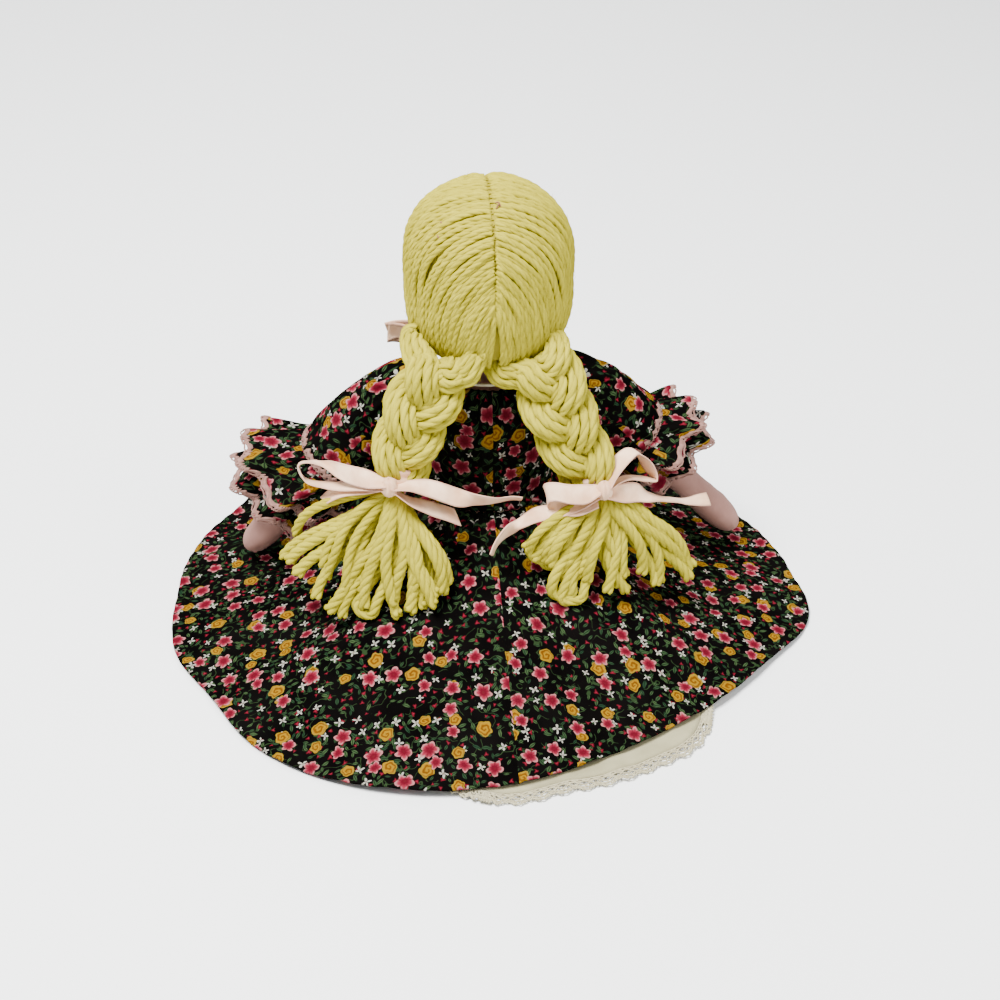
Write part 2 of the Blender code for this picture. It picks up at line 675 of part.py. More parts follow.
def make_bow(side, pivot, tie, run):
    """A ribbon band round the plait, with a knot at its back, loops and tails."""
    waist = PLAIT_WAIST + GAP
    half = RIBBON_WIDTH / 2
    band = cylinder("bow_" + side, tie - run * half, tie + run * half, waist + BAND_WALL)
    bow = place("bow_" + side, band, "ribbon", pivot)
    knot = tie + Vector((0, waist + KNOT_RADIUS, 0))
    join(bow, sphere("knot", knot, KNOT_RADIUS, 10), "bow_knot_" + side)
    up = Vector((0, 0, 1))
    for i, end in enumerate(BOW_LOOPS[side]):
        loop = strip("loop", knot, end, half, LOOP_THICKNESS / 2, up, LOOP_END_SHARE)
        join(bow, loop, f"bow_loop_{side}_{i + 1}")
    for i, end in enumerate(BOW_TAILS[side]):
        tail = strip("tail", knot, end, half, RIBBON_THICKNESS / 2, up, arch=TAIL_ARCH)
        join(bow, tail, f"bow_tail_{side}_{i + 1}")
    reach = run * (half + OVERRUN)
    cut(bow, cylinder("band_inside", tie - reach, tie + reach, waist), "band_inside_" + side)


def make_neck_bow():
    floor = CLOTH + GAP
    share = (NECK_BOW_KNOT_HEIGHT - KNOT_RADIUS / 2 - floor) / (TORSO_HEIGHT - floor)
    front = min(p.y for p in torso_ring(share, LAYER_GAP + CLOTH))
    knot = Vector((0, front - KNOT_RADIUS, NECK_BOW_KNOT_HEIGHT))
    bow = place("neck_bow", sphere("neck_bow", knot, KNOT_RADIUS - GAP, 10), "ribbon")
    half = RIBBON_WIDTH / 2
    for side in SIDES:
        end = side_of(side, NECK_BOW_LOOP)
        loop = strip("loop", knot, end, half, LOOP_THICKNESS / 2, (0, 0, 1), NECK_LOOP_END_SHARE)
        join(bow, loop, "neck_loop_" + side)
        tail = strip("tail", knot, side_of(side, NECK_BOW_TAIL), half, RIBBON_THICKNESS / 2, (1, 0, 0))
        join(bow, tail, "neck_tail_" + side)


# Arms, sleeves and flounces


class ArmFrame:
    """Directions along and across one arm, and places on its line."""

    def __init__(self, side):
        self.start = side_of(side, SHOULDER)
        run = Vector(HAND_TIP[side]) - self.start
        self.length = run.length
        self.along = run.normalized()
        up = Vector((0, 0, 1))
        self.back = self.along.cross(up).normalized() * -SIDES[side]
        self.lift = (up - self.along * self.along.dot(up)).normalized()

    def at(self, share, lift=0):
        return self.start + self.along * self.length * share + self.lift * lift

    def ring(self, share, radius, count=18, lift=0, ruffle=0, flat=1):
        points = []
        for i in range(count):
            angle = 2 * math.pi * i / count
            reach = radius + ruffle * math.cos(RUFFLES * angle)
            out = self.back * math.cos(angle) + self.lift * math.sin(angle) * flat
            points.append(self.at(share, lift) + out * reach)
        return points


def sleeve_rows(side):
    """Shares of the arm and outer radii of the sleeve, from the shoulder to its gathered end."""
    arm = ArmFrame(side)
    first = SLEEVE_START / arm.length
    last = SLEEVE_END_SHARE[side]
    swell = SLEEVE_PUFF_RADIUS - SLEEVE_START_RADIUS
    return arm, [(first + s * (last - first), SLEEVE_START_RADIUS + w * swell) for s, w in SLEEVE_SHARES]


def sleeve_space(side):
    """The sleeve's outside with its clearance, for cutting its neighbours."""
    arm, rows = sleeve_rows(side)
    return loft("sleeve_space", [arm.ring(share, radius + GAP) for share, radius in rows])


def make_arm(side, pivot):
    arm, rows = sleeve_rows(side)
    body = [arm.ring(0, ARM_BALL * ROOT_SHARE, LIMB_SIDES)]
    for share, radius in ARM_RADIUS_SHARES[1:]:
        flat = HAND_FLATNESS_SHARE if share > HAND_START_SHARE else 1
        body.append(arm.ring(share, radius * ARM_BALL, LIMB_SIDES, flat=flat))
    stuffed = place("arm_" + side, loft("arm_" + side, body), "body_cloth", pivot)
    join(stuffed, sphere("arm_ball", arm.start, ARM_BALL), "arm_ball_" + side)

    sleeve = loft("sleeve_" + side, [arm.ring(share, radius) for share, radius in rows], capped=False)
    thicken(place("sleeve_" + side, sleeve, "print_cotton", pivot), CLOTH, outward=False)
    end_share, end_radius = rows[-1]
    widest = max(radius for share, radius in rows if share > end_share - 2 * TRIM_WIDTH / arm.length)
    make_elbow_trim(side, pivot, arm, end_share, widest)
    seam = end_share + GAP / arm.length
    outer_end = seam + OUTER_FLOUNCE_SHARE[side]
    reach = OUTER_FLOUNCE_RADIUS[side]
    flounce(side, "outer_flounce", pivot, arm, seam, outer_end, end_radius, reach, FLOUNCE_LIFT[side])
    inner_end = seam + INNER_FLOUNCE_SHARE[side]
    start = end_radius - CLOTH - LAYER_GAP
    reach = INNER_FLOUNCE_RADIUS[side]
    lift = INNER_LIFT_SHARE * FLOUNCE_LIFT[side]
    flounce(side, "inner_flounce", pivot, arm, seam, inner_end, start, reach, lift)


def flounce(side, name, pivot, arm, start_share, end_share, start_radius, end_radius, lift):
    """A gathered frill from the sleeve's end, standing off the arm, with a trim at its edge."""
    rings = []
    for share in FLOUNCE_STEP_SHARES:
        radius = start_radius + share * (end_radius - start_radius)
        at = start_share + share * (end_share - start_share)
        rings.append(arm.ring(at, radius, RUFFLE_STEPS, lift * share, RUFFLE_DEPTH * share))
    piece = place(name + "_" + side, loft(name, rings, capped=False), "print_cotton", pivot)
    thicken(piece, CLOTH, outward=False)
    run = (end_share - start_share) * arm.length
    edges = []
    for reach in (LAYER_GAP, LAYER_GAP + TRIM_WIDTH):
        past = 1 + reach / run
        radius = start_radius + past * (end_radius - start_radius)
        at = start_share + past * (end_share - start_share)
        edges.append(arm.ring(at, radius, RUFFLE_STEPS, past * lift, RUFFLE_DEPTH))
    trim = name + "_trim_" + side
    thicken(place(trim, loft(trim, edges, capped=False), "picot_trim", pivot), CLOTH, outward=False)


def make_elbow_trim(side, pivot, arm, end_share, radius):
    """A flat band round the sleeve where the flounces are gathered on."""
    start = end_share - TRIM_WIDTH / arm.length
    rings = [arm.ring(share, radius + GAP) for share in (start, end_share - GAP / arm.length)]
    name = "elbow_trim_" + side
    thicken(place(name, loft(name, rings, capped=False), "picot_trim", pivot), TRIM_THICKNESS, outward=True)


# Legs and shoes


def leg_ring(side, share, radius):
    hip = side_of(side, HIP)
    ankle = Vector((hip.x + SIDES[side] * LEG_SPLAY, hip.y - LEG_LENGTH, ANKLE_HEIGHT))
    run = (ankle - hip).normalized()
    across = run.cross(Vector((0, 0, 1))).normalized()
    return ellipse(hip.lerp(ankle, share), across * radius, across.cross(run) * radius, LIMB_SIDES)


def make_leg(side, pivot):
    rings = [leg_ring(side, 0, THIGH_BALL * ROOT_SHARE)]
    rings += [leg_ring(side, share, size * THIGH_BALL) for share, size in LEG_SHARES[1:]]
    leg = place("leg_" + side, loft("leg_" + side, rings), "body_cloth", pivot)
    join(leg, sphere("thigh_ball", side_of(side, HIP), THIGH_BALL), "thigh_ball_" + side)

    start = DRAWERS_LEG_START / LEG_LENGTH
    around_leg = []
    for step in CUFF_STEP_SHARES:
        share = start + step * (DRAWERS_LEG_SHARE - start)
        radius = table(LEG_SHARES, share) * THIGH_BALL + LAYER_GAP
        around_leg.append(leg_ring(side, share, radius))
    cuff = loft("drawers_leg_" + side, around_leg, capped=False)
    thicken(place("drawers_leg_" + side, cuff, "white_cotton", pivot), CLOTH, outward=True)
    make_shoe(side, pivot)


def make_shoe(side, pivot):
    """A soft shoe at the end of the leg, toe up, its heel on the floor."""
    hip = side_of(side, HIP)
    centre = Vector((hip.x + SIDES[side] * LEG_SPLAY, hip.y - LEG_LENGTH - GAP - SHOE_HALF_DEPTH, 0))
    rings = []
    for share, wide, deep in SHOE_SHARES:
        at = centre + Vector((0, 0, share * SHOE_HEIGHT))
        rings.append(ellipse(at, (wide * SHOE_HALF_WIDTH, 0, 0), (0, deep * SHOE_HALF_DEPTH, 0), 18))
    place("shoe_" + side, loft("shoe_" + side, rings), "shoe_felt", pivot)


clear_scene()
parts = collection("yarn_doll")
cutters = collection("cutters")

make_torso()
make_bodice()
make_drawers()
make_collar()
make_neck_bow()
make_skirts()
head_pivot = empty("head_pivot", (0, 0, NECK_HEIGHT))
make_head(head_pivot)
for side_name in SIDES:
    make_plait(side_name, empty("plait_pivot_" + side_name, PLAIT_PIVOT[side_name]))
    make_arm(side_name, empty("shoulder_pivot_" + side_name, side_of(side_name, SHOULDER)))
    make_leg(side_name, empty("hip_pivot_" + side_name, side_of(side_name, HIP)))
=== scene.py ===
"""The look of the seated yarn doll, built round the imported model."""

import json
import math

import bmesh
import bpy
import numpy as np
from mathutils import Matrix, Vector

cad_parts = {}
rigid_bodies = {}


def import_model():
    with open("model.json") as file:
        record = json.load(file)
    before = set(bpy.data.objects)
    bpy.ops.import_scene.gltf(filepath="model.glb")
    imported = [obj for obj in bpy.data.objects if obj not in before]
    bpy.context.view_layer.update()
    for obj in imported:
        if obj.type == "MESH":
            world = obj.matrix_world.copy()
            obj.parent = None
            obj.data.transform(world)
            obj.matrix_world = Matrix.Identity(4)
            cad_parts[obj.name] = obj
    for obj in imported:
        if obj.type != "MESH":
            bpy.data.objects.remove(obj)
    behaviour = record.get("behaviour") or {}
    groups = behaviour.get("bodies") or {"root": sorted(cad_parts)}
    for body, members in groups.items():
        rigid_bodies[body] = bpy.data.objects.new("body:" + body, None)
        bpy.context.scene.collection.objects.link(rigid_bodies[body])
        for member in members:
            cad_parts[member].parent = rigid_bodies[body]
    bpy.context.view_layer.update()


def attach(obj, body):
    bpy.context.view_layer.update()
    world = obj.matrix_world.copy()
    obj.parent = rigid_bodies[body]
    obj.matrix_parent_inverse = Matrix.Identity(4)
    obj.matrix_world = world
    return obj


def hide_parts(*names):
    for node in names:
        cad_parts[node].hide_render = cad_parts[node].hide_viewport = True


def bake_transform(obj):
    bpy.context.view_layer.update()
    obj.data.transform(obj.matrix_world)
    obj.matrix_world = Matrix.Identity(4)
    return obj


for startup in list(bpy.data.objects):
    bpy.data.objects.remove(startup)
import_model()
rng = np.random.default_rng(7)

MM = 0.001
TURN = 2 * math.pi
SIDES = {"left": 1, "right": -1}
UP = np.array((0.0, 0.0, 1.0))


def mm(*values):
    return np.array(values) * MM


# Sizes that repeat part.py's
CLOTH = 0.8 * MM
GAP = 0.3 * MM
LAYER_GAP = 0.5 * MM
TORSO_HEIGHT = 106 * MM
HIP_HALF_WIDTH = 35 * MM
HIP_HALF_DEPTH = 26.5 * MM
TORSO_SHARES = np.array((
    (0.0, 0.83, 0.79), (0.05, 0.95, 0.94), (0.14, 1.0, 1.0), (0.25, 0.97, 0.95), (0.36, 0.83, 0.81),
    (0.46, 0.69, 0.68), (0.58, 0.71, 0.69), (0.73, 0.73, 0.7), (0.85, 0.73, 0.66),
    (0.915, 0.67, 0.58), (0.96, 0.49, 0.47), (1.0, 0.29, 0.35),
))
BODICE_BOTTOM_SHARE = 0.475
BODICE_TOP_SHARE = 0.965
COLLAR_SHARE = 0.976
HEAD_BOTTOM = 116.5 * MM
HAIR_HEIGHT = 67 * MM
HAIR_RADIUS = 31.5 * MM
HEAD_SHARES = np.array((
    (0.0, 0.55), (0.045, 0.8), (0.12, 0.93), (0.25, 0.99), (0.42, 1.0), (0.58, 0.985), (0.71, 0.93),
    (0.82, 0.81), (0.91, 0.62), (0.97, 0.37), (1.0, 0.12),
))
PLAIT_PIVOT = {"left": mm(21, 27, 119), "right": mm(-19, 27, 119)}
TIE = {"left": mm(38, 37, 80), "right": mm(-38, 38, 73)}
PLAIT_HALF_WIDTH = 13 * MM
PLAIT_HALF_DEPTH = 8.5 * MM
PLAIT_WAIST = 5.8 * MM
TASSEL_TIP = {"left": mm(45, 56, 34), "right": mm(-45, 55, 34)}
RIBBON_WIDTH = 7.5 * MM
SHOULDER = mm(33, 0, 98)
HAND_TIP = {"left": mm(100, -20, 13), "right": mm(-107, -18, 13.5)}
ARM_BALL = 10 * MM
SLEEVE_END_SHARE = {"left": 0.42, "right": 0.33}
HIP = mm(18, -25, 13)
THIGH_BALL = 11.5 * MM
LEG_LENGTH = 94 * MM
LEG_SPLAY = 6 * MM
ANKLE_HEIGHT = 11.3 * MM
WAIST_HEIGHT = 49.5 * MM
SKIRT_REACH = 130 * MM
HEM_SHARES = np.array((
    1.0, 1.03, 1.015, 1.058, 1.066, 1.045, 1.0, 0.945, 0.92, 0.925, 0.955, 1.025,
    0.985, 0.955, 0.92, 0.905, 0.905, 0.905, 0.905, 0.905, 0.915, 0.945, 0.975, 0.995,
))
SIDE_PROFILE = np.array((
    (0.0, 1.0), (0.05, 0.93), (0.18, 0.57), (0.32, 0.36), (0.5, 0.22), (0.69, 0.13), (0.85, 0.06), (1.0, 0.0),
))
BACK_PROFILE = np.array((
    (0.0, 1.0), (0.1, 0.94), (0.23, 0.76), (0.37, 0.6), (0.46, 0.5), (0.59, 0.36), (0.73, 0.23), (0.88, 0.09),
    (1.0, 0.0),
))
FRONT_PROFILE = np.array((
    (0.0, 1.0), (0.1, 0.93), (0.23, 0.81), (0.37, 0.74), (0.5, 0.69), (0.62, 0.64), (0.75, 0.59),
    (0.88, 0.53), (1.0, 0.48),
))


# Shapes in numbers


def smooth(at, low, high):
    """0 below low, 1 above high, and a soft step between."""
    t = np.clip((np.asarray(at, float) - low) / (high - low), 0, 1)
    return t * t * (3 - 2 * t)


def table(rows, at, column=1):
    """The value in a column beside a share, on a smooth line through the rows."""
    x, y = rows[:, 0], rows[:, column]
    at = np.clip(np.asarray(at, float), x[0], x[-1])
    i = np.clip(np.searchsorted(x, at, side="left") - 1, 0, len(x) - 2)
    before, after = np.maximum(i - 1, 0), np.minimum(i + 2, len(x) - 1)
    span = x[i + 1] - x[i]
    t = (at - x[i]) / span
    rise = span * (y[i + 1] - y[before]) / (x[i + 1] - x[before])
    fall = span * (y[after] - y[i]) / (x[after] - x[i])
    return (
        y[i] * (2 * t**3 - 3 * t**2 + 1) + rise * (t**3 - 2 * t**2 + t)
        + y[i + 1] * (3 * t**2 - 2 * t**3) + fall * (t**3 - t**2)
    )


def unit(vectors):
    vectors = np.asarray(vectors, float)
    return vectors / np.maximum(np.linalg.norm(vectors, axis=-1, keepdims=True), 1e-12)


def joined(*parts):
    """One array of points from its coordinates, spread to the same shape first."""
    return np.stack(np.broadcast_arrays(*parts), axis=-1)


def bell(off, width):
    """1 where off is 0, and softly down to 0 on both sides."""
    return np.exp(-((off / width) ** 2))


def round_angles(count):
    return np.arange(count) / count * TURN


def closed(line):
    """A line or net with its first row again at its end."""
    return np.concatenate((line, line[:1]))


def outward(points):
    """Level directions away from the upright axis."""
    return unit(points * (1, 1, 0))


def ball(rise, turn):
    """Directions at these angles above level and round."""
    return joined(np.cos(rise) * np.cos(turn), np.cos(rise) * np.sin(turn), np.sin(rise))


WAVES = ((1.0, 0.7, -0.4, 0.3), (-0.6, 1.1, 0.8, 1.9), (0.5, -0.9, 1.2, 4.1), (1.7, 0.4, 1.5, 2.6))


def wobble(points, size, depth, seed):
    """A soft, repeatable unevenness for points, as one number each."""
    at = np.asarray(points, float) / size
    total = 0
    for k, (*way, turn) in enumerate(WAVES):
        total = total + np.sin(at @ np.array(way) * 2.1 + turn + seed * (1.3 + k)) / (1 + 0.4 * k)
    return total * depth / 2


def lines_length(points):
    """Distance along a line of points, starting at 0."""
    steps = np.linalg.norm(np.diff(points, axis=0), axis=1)
    return np.concatenate(([0.0], np.cumsum(steps)))


def even_line(points, spacing):
    """The same line with points at about this spacing, on a smooth curve."""
    points = np.asarray(points, float)
    run = lines_length(points)
    count = max(4, int(math.ceil(run[-1] / spacing)) + 1)
    at = np.linspace(0, run[-1], count)
    rows = [table(np.column_stack((run, points[:, k])), at) for k in range(3)]
    return np.column_stack(rows)


def bezier(controls, count):
    """Points on one Bezier curve through its control points."""
    at = np.linspace(0, 1, count)[:, None]
    level = [np.asarray(c, float)[None, :] * np.ones_like(at) for c in controls]
    while len(level) > 1:
        level = [a * (1 - at) + b * at for a, b in zip(level, level[1:])]
    return level[0]


def frames(points):
    """Two directions square to a line at each of its points, turning as little as they can."""
    run = unit(np.gradient(points, axis=0))
    side = np.cross(run[0], (0.31, 0.72, 0.62))
    first = []
    for r in run:
        side = side - r * (side @ r)
        side = side / np.linalg.norm(side)
        first.append(side)
    first = np.array(first)
    return first, np.cross(run, first)


# Meshes


def mesh_object(name, points, faces, uv, finish):
    """A smooth mesh from arrays: points, faces as rows of corners, and one uv for each corner."""
    mesh = bpy.data.meshes.new(name)
    faces = np.asarray(faces, np.int32)
    width = faces.shape[1]
    mesh.vertices.add(len(points))
    mesh.vertices.foreach_set("co", np.asarray(points, np.float32).ravel())
    mesh.loops.add(faces.size)
    mesh.loops.foreach_set("vertex_index", faces.ravel())
    mesh.polygons.add(len(faces))
    mesh.polygons.foreach_set("loop_start", np.arange(0, faces.size, width, dtype=np.int32))
    mesh.polygons.foreach_set("use_smooth", np.ones(len(faces), bool))
    layer = mesh.uv_layers.new(name="cloth")
    layer.data.foreach_set("uv", np.asarray(uv, np.float32).reshape(-1))
    mesh.update(calc_edges=True)
    mesh.validate()
    mesh.materials.append(finish)
    obj = bpy.data.objects.new(name, mesh)
    bpy.context.scene.collection.objects.link(obj)
    return obj


class Build:
    """Collects grids of quads into one mesh."""

    def __init__(self):
        self.points, self.faces, self.uvs, self.count = [], [], [], 0

    def grid(self, points, uv, round_trip=False):
        """A net of points, rows by columns; uv has one more column where the net closes on itself."""
        rows, columns = points.shape[:2]
        index = np.arange(rows * columns).reshape(rows, columns)
        if round_trip:
            index = np.concatenate((index, index[:, :1]), axis=1)
        corners = (index[:-1, :-1], index[:-1, 1:], index[1:, 1:], index[1:, :-1])
        self.faces.append(np.stack(corners, axis=-1).reshape(-1, 4) + self.count)
        spots = (uv[:-1, :-1], uv[:-1, 1:], uv[1:, 1:], uv[1:, :-1])
        self.uvs.append(np.stack(spots, axis=2).reshape(-1, 2))
        self.points.append(points.reshape(-1, 3))
        self.count += rows * columns
        return self

    def cloth(self, points, uv, thickness, round_trip=False):
        """A net with a thickness behind its face, closed at its edges."""
        normal = net_normals(points, round_trip)
        back = points - normal * thickness
        ring, ring_uv = (closed(np.concatenate(faces)) for faces in ((points, back[::-1]), (uv, uv[::-1])))
        self.grid(ring, ring_uv, round_trip)
        if round_trip:
            return self
        for column in (0, -1):
            strip = np.stack((points[:, column], back[:, column]), axis=1)
            spots = np.stack((uv[:, column], uv[:, column]), axis=1)
            self.grid(strip[::-1] if column == 0 else strip, spots)
        return self

    def done(self, name, finish):
        obj = mesh_object(name, *map(np.concatenate, (self.points, self.faces, self.uvs)), FINISH[finish])
        shape = bmesh.new()
        shape.from_mesh(obj.data)
        bmesh.ops.remove_doubles(shape, verts=shape.verts, dist=1e-6)
        bmesh.ops.recalc_face_normals(shape, faces=shape.faces)
        shape.to_mesh(obj.data)
        shape.free()
        return obj


def cloth_piece(name, finish, points, uv, thickness):
    """A cloth that closes on itself, as a piece of its own."""
    return Build().cloth(points, uv, thickness, round_trip=True).done(name, finish)


def net_normals(points, round_trip):
    if round_trip:
        across = np.roll(points, -1, axis=1) - np.roll(points, 1, axis=1)
    else:
        across = np.gradient(points, axis=1)
    along = np.gradient(points, axis=0)
    return unit(np.cross(across, along))


def with_ends(net):
    """A net of rings with its first and last ring drawn in to a point."""
    ends = [np.repeat(ring.mean(axis=0)[None, None], net.shape[1], axis=1) for ring in (net[0], net[-1])]
    return np.concatenate((ends[0], net, ends[1]))


def add_tube(build, line, radius, sides, tag, start=0.0):
    """A round thread along a line, of even or changing radius. The tag sets it apart in the uv."""
    first, second = frames(line)
    angle = TURN * np.arange(sides) / sides + start
    radius = np.broadcast_to(np.asarray(radius, float), (len(line),))
    ring = first[:, None] * np.cos(angle)[None, :, None] + second[:, None] * np.sin(angle)[None, :, None]
    net = with_ends(line[:, None] + ring * radius[:, None, None])
    run = lines_length(line)
    run = np.concatenate(([run[0]], run, [run[-1]]))
    around = np.arange(sides + 1) / sides * 0.01 + tag
    uv = joined(run[:, None], around[None, :])
    build.grid(net, uv, True)


def add_yarn(build, line, radius, pitch, sides, plies, tag, turn, fray=0.0, full=0.56):
    """A twisted yarn along a line. Its plies part a little at the end where it frays."""
    first, second = frames(line)
    run = lines_length(line)
    radius = np.broadcast_to(np.asarray(radius, float), (len(line),))
    spread = 1.04 - full + fray * smooth(run, run[-1] - 3.5 * MM, run[-1])
    for ply in range(plies):
        angle = run / pitch * TURN + ply * TURN / plies + turn
        out = first * np.cos(angle)[:, None] + second * np.sin(angle)[:, None]
        strand = line + out * (radius * spread)[:, None]
        taper = 1 - 0.35 * smooth(run, run[-1] - 0.8 * MM, run[-1])
        add_tube(build, strand, radius * full * taper, sides, tag + 0.003 * ply, turn)


def add_fuzz(build, line, radius, every, tag):
    """Short loose fibres that stand off a yarn."""
    first, second = frames(line)
    for _ in range(int(lines_length(line)[-1] / every)):
        i = int(rng.integers(3, len(line) - 3))
        angle = rng.random() * TURN
        out = first[i] * math.cos(angle) + second[i] * math.sin(angle)
        along = unit(line[i + 1] - line[i - 1]) * (rng.random() - 0.5) * 4 * MM
        start = line[i] + out * radius * 0.85
        tip = start + out * (0.5 + 0.9 * rng.random()) * MM + along
        add_tube(build, bezier((start, start + out * 0.8 * MM + along * 0.3, tip), 4), 0.05 * MM, 3, tag)


# The camera, which also places the ribbons as they are seen in the photo
CAMERA_TURN = math.radians(175)
CAMERA_RISE = math.radians(35)
CAMERA_DISTANCE = 850 * MM
CAMERA_LENS = 72.86
CAMERA_SENSOR = 36
CAMERA_SHIFT = (0.0115, 0.088)
CAMERA_BACK = np.array((
    math.sin(CAMERA_TURN) * math.cos(CAMERA_RISE), -math.cos(CAMERA_TURN) * math.cos(CAMERA_RISE),
    math.sin(CAMERA_RISE),
))
CAMERA_RIGHT = unit(np.cross(UP, CAMERA_BACK))
CAMERA_UP = np.cross(CAMERA_BACK, CAMERA_RIGHT)
PHOTO_WIDTH = 1000
ORIGIN_PIXEL = np.array((490, 588))
PIXEL = CAMERA_SENSOR / CAMERA_LENS / PHOTO_WIDTH


def seen_at(pixel, beyond):
    """The place seen at a pixel of the photo, this far in front of the middle of the part."""
    across, down = (np.asarray(pixel) - ORIGIN_PIXEL) * PIXEL
    ray = CAMERA_RIGHT * across - CAMERA_UP * down - CAMERA_BACK
    return CAMERA_BACK * CAMERA_DISTANCE + ray * (CAMERA_DISTANCE - beyond)


# Materials


class Tree:
    """Short ways to write one material's nodes."""

    def __init__(self, name, roughness, sheen=0.0, subsurface=0.0, gloss=0.12):
        self.material = bpy.data.materials.new(name)
        self.material.use_nodes = True
        self.nodes = self.material.node_tree.nodes
        self.links = self.material.node_tree.links
        self.shader = self.nodes["Principled BSDF"]
        self.shader.inputs["Roughness"].default_value = roughness
        self.shader.inputs["Sheen Weight"].default_value = sheen
        self.shader.inputs["Sheen Roughness"].default_value = 0.5
        self.shader.inputs["Specular IOR Level"].default_value = gloss
        if subsurface:
            self.shader.inputs["Subsurface Weight"].default_value = subsurface
            self.shader.inputs["Subsurface Radius"].default_value = (1.6 * MM, 1.1 * MM, 0.7 * MM)
            self.shader.inputs["Subsurface Scale"].default_value = 1
        self.uv = self.put("UVMap")

    def put(self, kind, *inputs, out=0, **settings):
        made = self.nodes.new("ShaderNode" + kind)
        for key, value in settings.items():
            setattr(made, key, value)
        for i, value in enumerate(inputs):
            if value is None:
                continue
            if isinstance(value, bpy.types.NodeSocket):
                self.links.new(value, made.inputs[i])
            else:
                made.inputs[i].default_value = value
        return made.outputs[out]

    def math(self, operation, *inputs):
        return self.put("Math", *inputs, operation=operation)

    def between(self, value, low, high, to_low=0.0, to_high=1.0):
        return self.put("MapRange", value, low, high, to_low, to_high, interpolation_type="SMOOTHSTEP")

    def mix(self, share, first, second):
        made = self.nodes.new("ShaderNodeMix")
        made.data_type = "RGBA"
        for i, value in ((0, share), (6, first), (7, second)):
            if isinstance(value, bpy.types.NodeSocket):
                self.links.new(value, made.inputs[i])
            elif i:
                made.inputs[i].default_value = (*value, 1)
            else:
                made.inputs[i].default_value = value
        return made.outputs[2]

    def noise(self, where, scale, detail, out=0):
        made = self.nodes.new("ShaderNodeTexNoise")
        self.links.new(where, made.inputs["Vector"])
        made.inputs["Scale"].default_value = scale
        made.inputs["Detail"].default_value = detail
        return made.outputs[out]

    def split(self, vector):
        made = self.nodes.new("ShaderNodeSeparateXYZ")
        self.links.new(vector, made.inputs[0])
        return made.outputs

    def vector(self, operation, *inputs):
        return self.put("VectorMath", *inputs, operation=operation)

    def stretched(self, x, y):
        return self.vector("MULTIPLY", self.uv, (x, y, 1))

    def weave(self, pitch):
        """Threads over and under each other, from 0 to 1."""
        x, y, _ = self.split(self.uv)
        waves = [self.math("SINE", self.math("MULTIPLY", axis, TURN / pitch)) for axis in (x, y)]
        return self.math("MULTIPLY_ADD", self.math("MULTIPLY", *waves), 0.5, 0.5)

    def cells(self, where, pitch, jitter):
        """Scattered cells: the way from a cell's middle, and three random numbers of its own."""
        made = self.nodes.new("ShaderNodeTexVoronoi")
        made.voronoi_dimensions = "2D"
        made.inputs["Scale"].default_value = 1 / pitch
        made.inputs["Randomness"].default_value = jitter
        self.links.new(where, made.inputs["Vector"])
        colour = self.nodes.new("ShaderNodeSeparateColor")
        self.links.new(made.outputs["Color"], colour.inputs[0])
        return self.vector("SUBTRACT", where, made.outputs["Position"]), colour.outputs

    def bump(self, height, depth, strength, under=None):
        made = self.nodes.new("ShaderNodeBump")
        made.inputs["Strength"].default_value = strength
        made.inputs["Distance"].default_value = depth
        self.links.new(height, made.inputs["Height"])
        if under is not None:
            self.links.new(under, made.inputs["Normal"])
        return made.outputs[0]

    def finish(self, colour, normal=None, roughness=None):
        self.links.new(colour, self.shader.inputs["Base Color"])
        if normal is not None:
            self.links.new(normal, self.shader.inputs["Normal"])
        if roughness is not None:
            self.links.new(roughness, self.shader.inputs["Roughness"])
        return self.material

    def cotton(self, colour, pitch, share, shade):
        """Ends the material as woven cotton, with painted shade darker between its threads, and with small
        slubs.
        """
        threads = self.weave(pitch)
        # Painted shade: the colour darkens towards the shade colour in the hollows between the threads.
        colour = self.mix(self.math("MULTIPLY", self.math("SUBTRACT", 1.0, threads), share), colour, shade)
        coarse = self.bump(self.noise(self.uv, 330, 3), 0.3 * MM, 0.5)
        return self.finish(colour, self.bump(threads, 0.12 * MM, 0.7, coarse))


def blossoms(tree, pitch, radius, petals, shift, lack, depth):
    """One scatter of flowers: where they are, the share of the radius, the turn and the petals' wave."""
    where = tree.vector("ADD", tree.uv, (shift * 0.37, shift * 0.61, 0))
    bend = tree.vector("SUBTRACT", tree.noise(where, 420, 1, out=1), (0.5, 0.5, 0.5))
    bent = tree.vector("MULTIPLY_ADD", bend, (1.5 * MM, 1.5 * MM, 0), where)
    local, (pick, size, spin) = tree.cells(bent, pitch, 0.7)
    x, y, _ = tree.split(local)
    turn = tree.math("MULTIPLY_ADD", spin, TURN, tree.math("ARCTAN2", y, x))
    wave = tree.math("COSINE", tree.math("MULTIPLY", turn, petals))
    reach = tree.math("MULTIPLY_ADD", wave, depth / 2, 1 - depth / 2)
    grown = tree.math("MULTIPLY", reach, tree.between(size, 0, 1, radius * 0.72, radius))
    length = tree.put("VectorMath", local, operation="LENGTH", out=1)
    share = tree.math("DIVIDE", length, grown)
    there = tree.math("GREATER_THAN", pick, lack)
    mask = tree.math("MULTIPLY", tree.between(share, 0.94, 1.03, 1, 0), there)
    return mask, share, turn, wave


